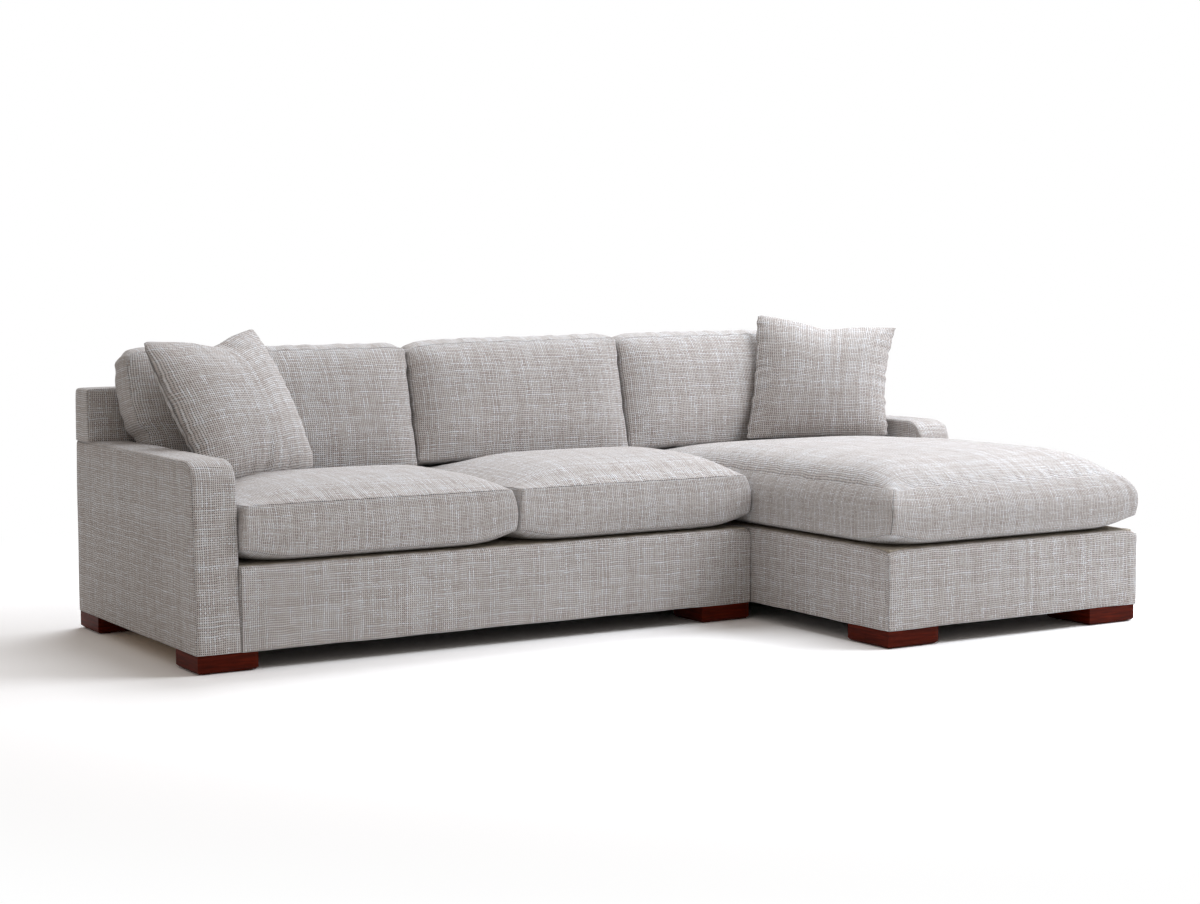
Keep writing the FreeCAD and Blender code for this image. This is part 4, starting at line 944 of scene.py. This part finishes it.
def build_seat(prefix, seam_z, fall, step, left_rise, rounding, shift, painted_seam_shade, arm=()):
    """A seat cushion. The arm is the corner of the notch round it, and shifts move the sides."""
    low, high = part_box(prefix + "_cover")
    low.x += shift[0]
    high.x += shift[1]
    low.y = low.y if arm else SOFA_FRONT
    thickness = high.z - low.z
    piece, u, v, w = sewn_shape(
        prefix + "_sewn", rows_between(low.x, high.x, step * COLUMN_SHARE, arm[:1]),
        rows_between(low.y, high.y, step, arm[1:]),
        rows_between(0, thickness, step) / thickness,
        seat_place(low, high, seam_z, fall, left_rise, rounding, arm), thickness,
        keep=(lambda u, v: u < arm[0] or v < arm[1]) if arm else None)
    at_side = (u < low.x + MM) | (u > high.x - MM)
    at_end = (v < low.y + MM) | (v > high.y - MM)
    rim = at_side | at_end
    if arm:
        rim |= (np.abs(u - arm[0]) < MM) & (v > arm[1] - MM)
        rim |= (np.abs(v - arm[1]) < MM) & (u > arm[0] - MM)
    # Painted shade along the seams and down the chaise's corner seams; on the top panel it takes
    # each cushion's own strength
    on_seam = (on_faces(w) & rim) | (at_side & at_end & bool(arm))
    store_painted_shade(piece, on_seam * np.where(w == 1, painted_seam_shade, 1.0))
    return piece, u, v, w


cushions = {}
for prefix, *measures in (
        ("seat_cushion_left", 0.489, SEAT_FALL, 13 * MM, (1.5, 1.8), 0, (0, SPLIT_SHIFT), 1.0),
        ("seat_cushion_middle", 0.489, SEAT_FALL, 13 * MM, (1.4, 1.5), 0, (SPLIT_SHIFT, 0), 0.8),
        ("chaise_cushion", 0.495, CHAISE_FALL, 15 * MM, (0.78, 0.9), 30 * MM, (0, 0), 0,
         CHAISE_STEP)):
    cushions[prefix] = build_seat(prefix, *measures)

# %% [markdown]
# ## Back cushions
# The back cushions are boxed too, and lean on the top edge of the back frame. Each is made
# lying down, with its foot towards the viewer, and then tipped up by its lean. The left one
# hangs over the arm. Their sides pull in a little between the corners, and the boxing along the
# top is stuffed, so it stands above the front seam. Where two of them meet, the tops droop.

# %% Measures of a back cushion
BACK_LEAN = math.radians(13)
BACK_CUSHION_THICKNESS = 182 * MM
BACK_REAR_SEAM = 0.10
BACK_FRONT_SEAM = 0.78
BACK_EDGE_REACH = 60 * MM
BACK_RISE_FULLNESS = 3.0
BACK_SIDE_PULL = 4 * MM
BACK_PULL_REACH = 60 * MM
BACK_BOX_SWELL = 24 * MM
BACK_DROOP_REACH = 130 * MM
BACK_PUCKER = 2.0 * MM
BACK_PUCKER_REACH = 30 * MM
BACK_SIDE_PAINTED_SHADE = 0.35
BACK_CONTACT_GAP = 0.6 * MM
OVERHANG_START = 5 * MM
OVERHANG_HEIGHT = 250 * MM
OVERHANG_REACH = 160 * MM
OVERHANG_CURVE = ((0, 0.10, 0.35, 0.7, 1), (0, 0.85, 1, 0.7, 0))


def back_foot_y(foot_z):
    """Y of a back cushion's lower rear edge, so that it just rests on the back frame's top edge."""
    low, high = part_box("sofa_back_cover")
    frame_lean = math.atan2(high.y - BACK_TOP_THICKNESS - low.y, high.z - DECK_HEIGHT)
    edge_z = high.z - BACK_EDGE
    edge_y = float(back_front(np.array(edge_z), low, high)) + BACK_EDGE / math.cos(frame_lean)
    reach = BACK_EDGE + BACK_CONTACT_GAP
    contact_y = edge_y - reach * math.cos(BACK_LEAN)
    contact_z = edge_z + reach * math.sin(BACK_LEAN)
    return contact_y - (contact_z - foot_z) * math.tan(BACK_LEAN)


# %% Place the points of a back cushion
def back_place(x_low, x_high, x_top_low, foot_z, height, falls, corners, overhang):
    """Function that places the points of a back cushion. The next cell says what each value is."""
    thickness = BACK_CUSHION_THICKNESS
    foot_y = back_foot_y(foot_z)
    width = x_high - x_low

    def place(u, v, w):
        left, right, foot, top = u - x_low, x_high - u, v, height - v
        filled = math.prod(rise(side, thickness, BACK_RISE_FULLNESS)
                           for side in (left, right, foot, top))
        front = BACK_FRONT_SEAM + (1 - BACK_FRONT_SEAM) * filled
        edge = nearest(left, right, foot, top)
        back = BACK_REAR_SEAM * (1 - rise(edge, BACK_EDGE_REACH))
        boxing = BACK_REAR_SEAM + (BACK_FRONT_SEAM - BACK_REAR_SEAM) * w
        share = np.where(w == 1, front, np.where(w == 0, back, boxing))
        share -= np.where((w == 1) & (edge < MM), SEAT_SINK / thickness, 0)
        x, up = u.copy(), v.copy()
        for distance, run, length, inward_u, inward_v in (
                (left, v, height, 1, 0), (right, v, height, -1, 0),
                (foot, left, width, 0, 1), (top, left, width, 0, -1)):
            bow = BACK_SIDE_PULL * (1 - (2 * run / length - 1) ** 2) + SIDE_TUCK * (2 * w - 1) ** 2
            gathers = puckers(run * 0.6 + height * inward_u, w * 0.1)
            amount = bow * fade(distance, BACK_PULL_REACH)
            amount += SEAT_SINK * ((distance < MM) & on_faces(w))
            amount += BACK_PUCKER * gathers * fade(distance, BACK_PUCKER_REACH)
            x += inward_u * amount
            up += inward_v * amount
        fall = falls[0] + sum(extra * fade(side, BACK_DROOP_REACH)
                              for extra, side in zip(falls[1:], (left, right)))
        up -= fall * (v / height) ** 3
        swell = BACK_BOX_SWELL * np.sin(np.pi * w)
        up += swell * (top < MM) * rise(left, BACK_EDGE_REACH) * rise(right, BACK_EDGE_REACH)
        x -= swell / 3 * (left < MM) * (overhang > 0)
        round_corners(x, up, (left, top, 1, -1, corners[0]), (right, top, -1, -1, corners[1]),
                      (left, foot, 1, 1, corners[2]), (right, foot, -1, 1, corners[2]))
        x += (x_top_low - x_low) * (up / height) * (x_high - x) / width
        above_arm = foot_z + up * math.cos(BACK_LEAN) - ARM_TOP - OVERHANG_START
        spread = np.interp(above_arm / OVERHANG_HEIGHT, *OVERHANG_CURVE)
        x -= overhang * spread * fade(left, OVERHANG_REACH)
        out, sin, cos = share * thickness, math.sin(BACK_LEAN), math.cos(BACK_LEAN)
        return np.stack((x, foot_y + up * sin - out * cos, foot_z + up * cos + out * sin), 1)

    return place


# %% Build the back cushions
def build_back_cushion(prefix, x_low, x_high, x_top_low, foot_z, height, falls, corners,
                       overhang=0):
    """A back cushion between two x places at its foot, and with its own left x place at its top.

    Falls lower the top edge: all along, and more at its left and right ends. Corners are the radii
    of the upper left, upper right and lower ones. Overhang spreads the left side over the arm.
    """
    thickness = BACK_CUSHION_THICKNESS
    piece, u, v, w = sewn_shape(
        prefix + "_sewn", rows_between(x_low, x_high, 13 * MM), rows_between(0, height, 13 * MM),
        rows_between(0, thickness, 15 * MM) / thickness,
        back_place(x_low, x_high, x_top_low, foot_z, height, falls, corners, overhang), thickness)
    at_end = (v < MM) | (v > height - MM)
    at_side = (u < x_low + MM) | (u > x_high - MM)
    # Painted shade: full along the top and foot seams, weaker along the side seams
    store_painted_shade(piece, on_faces(w) * np.where(at_end, 1.0, BACK_SIDE_PAINTED_SHADE * at_side))
    return piece, u, v, w


SEAT_LEFT_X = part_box("left_arm_cover")[1].x
SPLIT_LEFT = SEAT_LEFT_X + 956 * MM
SPLIT_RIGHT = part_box("chaise_front_border")[0].x - 26 * MM
HALF_GAP = SOFT_GAP / 2
for prefix, *measures in (
        ("back_cushion_left", SEAT_LEFT_X + 20 * MM, SPLIT_LEFT - HALF_GAP, SEAT_LEFT_X - 52 * MM,
         0.4694, 0.448, mm(20, 0, 2), mm(30, 22, 18), 28 * MM),
        ("back_cushion_middle", SPLIT_LEFT + HALF_GAP, SPLIT_RIGHT - HALF_GAP,
         SPLIT_LEFT + HALF_GAP, 0.4851, 0.450, mm(22, 24, -4), mm(24, 24, 18)),
        ("back_cushion_right", SPLIT_RIGHT + HALF_GAP, ARM_LOW.x - 20 * MM,
         SPLIT_RIGHT + HALF_GAP, 0.4952, 0.440, mm(15, 12, 0), mm(26, 20, 18))):
    cushions[prefix] = build_back_cushion(prefix, *measures)

# %% [markdown]
# ## Scatter pillows
# A knife-edge pillow is two square panels sewn face to face round a loose filling. The edges
# stay thin and pull in between the corners, which stand out as pointed ears, and the middle
# is fullest. Its lower side is flattened where it stands on the seat.

# %% Measures of a pillow
PILLOW_HALF = 258 * MM
PILLOW_THICKNESS = 184 * MM
PILLOW_COLUMNS = 46
PILLOW_SEAM_ROW = 3 * MM
GATHER_DEPTH = 3.2 * MM
GATHER_REACH = 38 * MM
GATHER_START = 14 * MM
CREASE_WIDTH = 15 * MM
CORNER_SIGNS = ((-1, 1), (1, 1), (-1, -1), (1, -1))


def bowed(t):
    """Thickness of a pillow along one direction: full in the middle, 0 at both edges."""
    return (1 - np.abs(t) ** 2.5) ** 0.62


def creased(u, v, creases):
    """Depth of the furrows at a place. Each runs out from its first place to its second."""
    furrow = np.zeros(len(u))
    for (start_u, start_v), (end_u, end_v), depth in creases:
        run_u, run_v = end_u - start_u, end_v - start_v
        share = ((u - start_u) * run_u + (v - start_v) * run_v) / (run_u ** 2 + run_v ** 2)
        share = np.clip(share, 0, 1)
        aside = np.hypot(u - start_u - share * run_u, v - start_v - share * run_v) * PILLOW_HALF
        furrow += depth * np.exp(-(aside / CREASE_WIDTH) ** 2) * (1 - share) ** 0.5
    return furrow


# %% Build the pillows
def build_pillow(prefix, middle, turns, squash, pulls, ears, reaches, dip, creases):
    """A pillow. Squash lifts the left and right ends of its lower side, where the seat presses it.

    Pulls say how far the left, right and top sides bow in. Ears are the radii of the corners, and
    reaches how far each of them stands out, sideways and upwards. The dip of the top side has a
    place, a depth and a width. Each crease is a furrow in the front between two places.
    """
    half = PILLOW_HALF
    turn, lean, roll = (math.radians(angle) for angle in turns)
    inset = PILLOW_SEAM_ROW / half
    places = np.array([-1, *np.linspace(-1 + inset, 1 - inset, PILLOW_COLUMNS), 1])

    def place(u, v, w):
        edge = (1 - np.maximum(np.abs(u), np.abs(v))) * half
        run = np.where(np.abs(u) > np.abs(v), v, u + 3)
        gather = GATHER_DEPTH * puckers(run * half * 1.2 + w * 0.1) * fade(edge, GATHER_REACH)
        gather *= np.clip(edge / GATHER_START, 0, 1) * (1 - np.clip(-v - 0.9, 0, 1))
        thick = PILLOW_THICKNESS / 2 * bowed(u) * bowed(v) + gather
        thick = (thick - creased(u, v, creases) * (w == 1)) * np.where(w == 1, 1, -1)
        bow = np.where(u > 0, pulls[1], pulls[0]) * (1 - v * v)
        x = u * (half - bow - GATHER_DEPTH * puckers(v * half, 0.05) * np.abs(u) ** 3)
        foot = -half + squash[0] * (1 - u) / 2 + squash[1] * (1 + u) / 2
        head = half - pulls[2] * (1 - u * u) - dip[1] * np.exp(-((u - dip[0]) / dip[2]) ** 2)
        y = foot + (head - foot) * (v + 1) / 2
        for (sign_u, sign_v), (reach_x, reach_y) in zip(CORNER_SIGNS, reaches):
            near = (np.clip((1 + sign_u * u) / 2, 0, 1) * np.clip((1 + sign_v * v) / 2, 0, 1)) ** 2
            x += reach_x * near
            y += reach_y * near
        round_corners(x, y, *(
            ((1 - sign_u * u) * half, (1 - sign_v * v) * half, -sign_u, -sign_v, ear)
            for (sign_u, sign_v), ear in zip(CORNER_SIGNS, ears)))
        points = np.stack((x, y, thick), 1)
        for angle, first, second in ((roll, 0, 1), (math.pi / 2 - lean, 1, 2), (turn, 0, 1)):
            a, b = points[:, first].copy(), points[:, second].copy()
            points[:, first] = a * math.cos(angle) - b * math.sin(angle)
            points[:, second] = a * math.sin(angle) + b * math.cos(angle)
        return points + np.array(middle)

    piece, u, v, w = sewn_shape(prefix + "_sewn", places, places, (0, 1), place, 0, flat_scale=half)
    # Painted shade along the edge seam
    store_painted_shade(piece, (np.abs(u) == 1) | (np.abs(v) == 1))
    return piece, u, v, w


cushions["pillow_left"] = build_pillow(
    "pillow_left", (-1.163, 0.413, 0.7475), (24.0, 26.0, 6.4), mm(30, -8), mm(-8, -6, 24),
    mm(36, 26, 20, 40), (mm(-17, 11), mm(-12, -15), (0, 0), mm(-16, 0)), (0.1, 24 * MM, 0.32),
    (((0.10, 0.98), (0.55, 0.62), 11 * MM), ((-0.10, -0.98), (0.08, -0.45), 11 * MM),
     ((0.40, -0.98), (0.32, -0.70), 6 * MM)))
cushions["pillow_right"] = build_pillow(
    "pillow_right", (1.193, 0.404, 0.746), (-34.0, 21.3, -4.3), mm(26, 78), mm(8, 25, 16),
    mm(34, 14, 16, 26), (mm(-9, 9), mm(6, -6), mm(-16, 0), (0, 0)), (0.0, 18 * MM, 0.32),
    (((-0.05, 0.98), (0.25, 0.70), 4 * MM), ((0.98, 0.30), (0.70, 0.18), 7 * MM),
     ((0.98, -0.05), (0.72, -0.02), 6 * MM)))

# %% [markdown]
# ## Let the covers settle
# A sewn cover is cut a little fuller than its filling, and along the seams the extra cloth has
# nowhere to go, so it gathers in small folds. Blender's cloth simulation finds these folds: each
# cover is blown up slightly from inside, its seams and hidden sides are held, and the cloth
# beside the seams is told to be a few percent larger than it is drawn. After twenty steps the
# moves are limited to a few millimetres, so the cushion keeps its measured shape.

# %% Give a cover its cloth settings
SETTLE_STEPS = 20
SETTLE_LIMIT = 8 * MM
HOLD_SHARE = 0.86
HOLD_REACH = 12 * MM
GATHER_WIDTH = 45 * MM
CHAISE_EASE = 80 * MM
CLOTH_SETTINGS = {
    "quality": 4, "mass": 0.3, "tension_stiffness": 14, "compression_stiffness": 10,
    "shear_stiffness": 4, "bending_stiffness": 0.12, "vertex_group_mass": "held",
    "vertex_group_shrink": "fuller", "shrink_min": 0.0, "shrink_max": -0.07,
    "use_pressure": True, "uniform_pressure_force": 3.0}


def loosen(piece, seam_distance, freedom):
    """Make a cover ready: distances to the nearest seam, and 0 to 1 for free points."""
    held = piece.vertex_groups.new(name="held")
    fuller = piece.vertex_groups.new(name="fuller")
    weights = 1 - HOLD_SHARE * freedom * np.clip(seam_distance / HOLD_REACH, 0, 1)
    gather = fade(seam_distance, GATHER_WIDTH) * freedom
    for number, (weight, amount) in enumerate(zip(weights.tolist(), gather.tolist())):
        held.add([number], weight, "REPLACE")
        fuller.add([number], amount, "REPLACE")
    cloth = piece.modifiers.new("settling_cover", "CLOTH")
    for key, value in CLOTH_SETTINGS.items():
        setattr(cloth.settings, key, value)
    cloth.settings.effector_weights.gravity = 0
    cloth.collision_settings.use_collision = False
    cloth.point_cache.frame_end = SETTLE_STEPS


# %% Simulate the covers
def settle(pieces):
    """Step all the covers together, then write their limited moves into their meshes."""
    for step in range(1, SETTLE_STEPS + 1):
        scene.frame_set(step)
    scene_now = bpy.context.evaluated_depsgraph_get()
    for piece in pieces:
        before = read_points(piece.data)
        moves = read_points(piece.evaluated_get(scene_now).data) - before
        length = np.linalg.norm(moves, axis=1) + 1e-9
        limited = moves * (SETTLE_LIMIT * np.tanh(length / SETTLE_LIMIT) / length)[:, None]
        piece.modifiers.clear()
        piece.vertex_groups.clear()
        write_points(piece.data, before + limited)
        print(piece.name, "moved mm: mean", round(length.mean() / MM, 2),
              "most", round(length.max() / MM, 2))
    scene.frame_set(1)


for prefix, (piece, u, v, w) in cushions.items():
    seam_distance = nearest(u - u.min(), u.max() - u, v - v.min(), v.max() - v)
    freedom = (w == 1) * 1.0
    if prefix.startswith("pillow"):
        seam_distance *= PILLOW_HALF
        freedom = np.ones(len(u))
    elif prefix == "chaise_cushion":
        freedom *= np.clip(seam_distance / CHAISE_EASE, 0, 1)
    loosen(piece, seam_distance, freedom)
settle([piece for piece, *_ in cushions.values()])

# %% Dress the cushions
for prefix, (piece, *_) in cushions.items():
    smooth(piece)
    mount(piece, prefix, "woven_cloth", prefix + "_cover", prefix + "_filling")

# %% [markdown]
# ## Deck pads, dust covers and back straps
# Under the cushions a felt pad covers the springs, and a thin black cloth closes the underside.
# Behind the cushions elastic straps cross the back frame. They show only when a cushion is out
# or from below, so they are simple, but the pad has its quilting and the straps have thin edges.

# %% Build the deck pads and dust covers
QUILT = 90 * MM
QUILT_DEPTH = 2.5 * MM
PAD_EDGE = 4 * MM
PAD_ROWS = np.array((0, 0.3, 0.7, 1))
DUST_WAVE = 11 * MM
DUST_WAVE_HEIGHT = 0.25 * MM
DUST_WAVE_REACH = 40 * MM


def build_deck_pad(name, node, body):
    low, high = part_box(node)
    depth = high.z - low.z

    def place(u, v, w):
        left, right, front, rear = plan_sides(u, v, low, high)
        sides = ((left, 1, 0), (right, -1, 0), (front, 0, 1), (rear, 0, -1))
        x, y, z = padded_box(u, v, w, depth, sides, PAD_EDGE, 0)
        quilt = np.abs(np.sin(np.pi * (u + v) / QUILT) * np.sin(np.pi * (u - v) / QUILT)) ** 0.5
        z -= np.where(w == 1, QUILT_DEPTH * (1 - quilt), 0)
        return np.stack((x, y, low.z + z), 1)

    piece, *_ = sewn_shape(name, rows_between(low.x, high.x, 15 * MM),
                           rows_between(low.y, high.y, 15 * MM), PAD_ROWS, place, depth)
    smooth(piece)
    mount(piece, body, "deck_felt", node)


def build_dust_cover(name, node, body):
    low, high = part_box(node)
    thickness = high.z - low.z

    def place(u, v, w):
        edge = nearest(*plan_sides(u, v, low, high))
        waves = np.sin(u / DUST_WAVE) * np.sin(v / DUST_WAVE) * fade(edge, DUST_WAVE_REACH)
        return np.stack((u, v, low.z + thickness * (0.25 + 0.5 * w) + DUST_WAVE_HEIGHT * waves), 1)

    piece, *_ = sewn_shape(name, rows_between(low.x, high.x, 24 * MM),
                           rows_between(low.y, high.y, 24 * MM), (0, 1), place, thickness)
    mount(piece, body, "dust_cloth", node)


# %% Build the back straps
STRAP_WIDTH = 60 * MM
STRAP_THICKNESS = 1.6 * MM
STRAP_COUNT = 4
STRAP_INSET = 7.4 * MM
STRAP_COLUMNS = 60
# Outline of a strap's section: shares of its width and of its thickness
STRAP_SECTION = ((0, 0), (0.08, 0.5), (0.5, 0.6), (0.92, 0.5), (1, 0), (0.92, -0.5), (0.5, -0.4),
                 (0.08, -0.5))
BACK_BOARD = 18 * MM


def build_straps(name, node, cover, body):
    low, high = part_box(node)
    back_low, back_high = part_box(cover)
    span = back_high.z - BACK_BOARD - STRAP_INSET - DECK_HEIGHT - STRAP_WIDTH
    lean = math.atan2(back_high.y - BACK_TOP_THICKNESS - back_low.y, back_high.z - DECK_HEIGHT)
    shape = bmesh.new()
    for number in range(STRAP_COUNT):
        foot = DECK_HEIGHT + span * (number + 0.5) / STRAP_COUNT
        foot_y = float(back_front(np.array(foot), back_low, back_high))
        foot_y += STRAP_INSET + STRAP_THICKNESS / 2
        section = [(foot_y + up * STRAP_WIDTH * math.sin(lean) - out * STRAP_THICKNESS,
                    foot + up * STRAP_WIDTH * math.cos(lean)) for up, out in STRAP_SECTION]
        rings = [[shape.verts.new((x, y, z)) for y, z in section]
                 for x in np.linspace(low.x, high.x, STRAP_COLUMNS)]
        for ring, following in zip(rings, rings[1:]):
            for k in range(len(section)):
                after = (k + 1) % len(section)
                shape.faces.new((ring[k], ring[after], following[after], following[k]))
        shape.faces.new(rings[0][::-1])
        shape.faces.new(rings[-1])
    bmesh.ops.recalc_face_normals(shape, faces=shape.faces)
    mesh = bpy.data.meshes.new(name)
    shape.to_mesh(mesh)
    shape.free()
    piece = bpy.data.objects.new(name, mesh)
    scene.collection.objects.link(piece)
    mount(piece, body, "webbing", node)


for module in ("sofa", "chaise"):
    body = module + "_module"
    build_deck_pad(module + "_deck_felt", module + "_deck_pad", body)
    build_dust_cover(module + "_dust_cloth", module + "_dust_cover", body)
    build_straps(module + "_back_straps", module + "_back_webbing", module + "_back_cover", body)
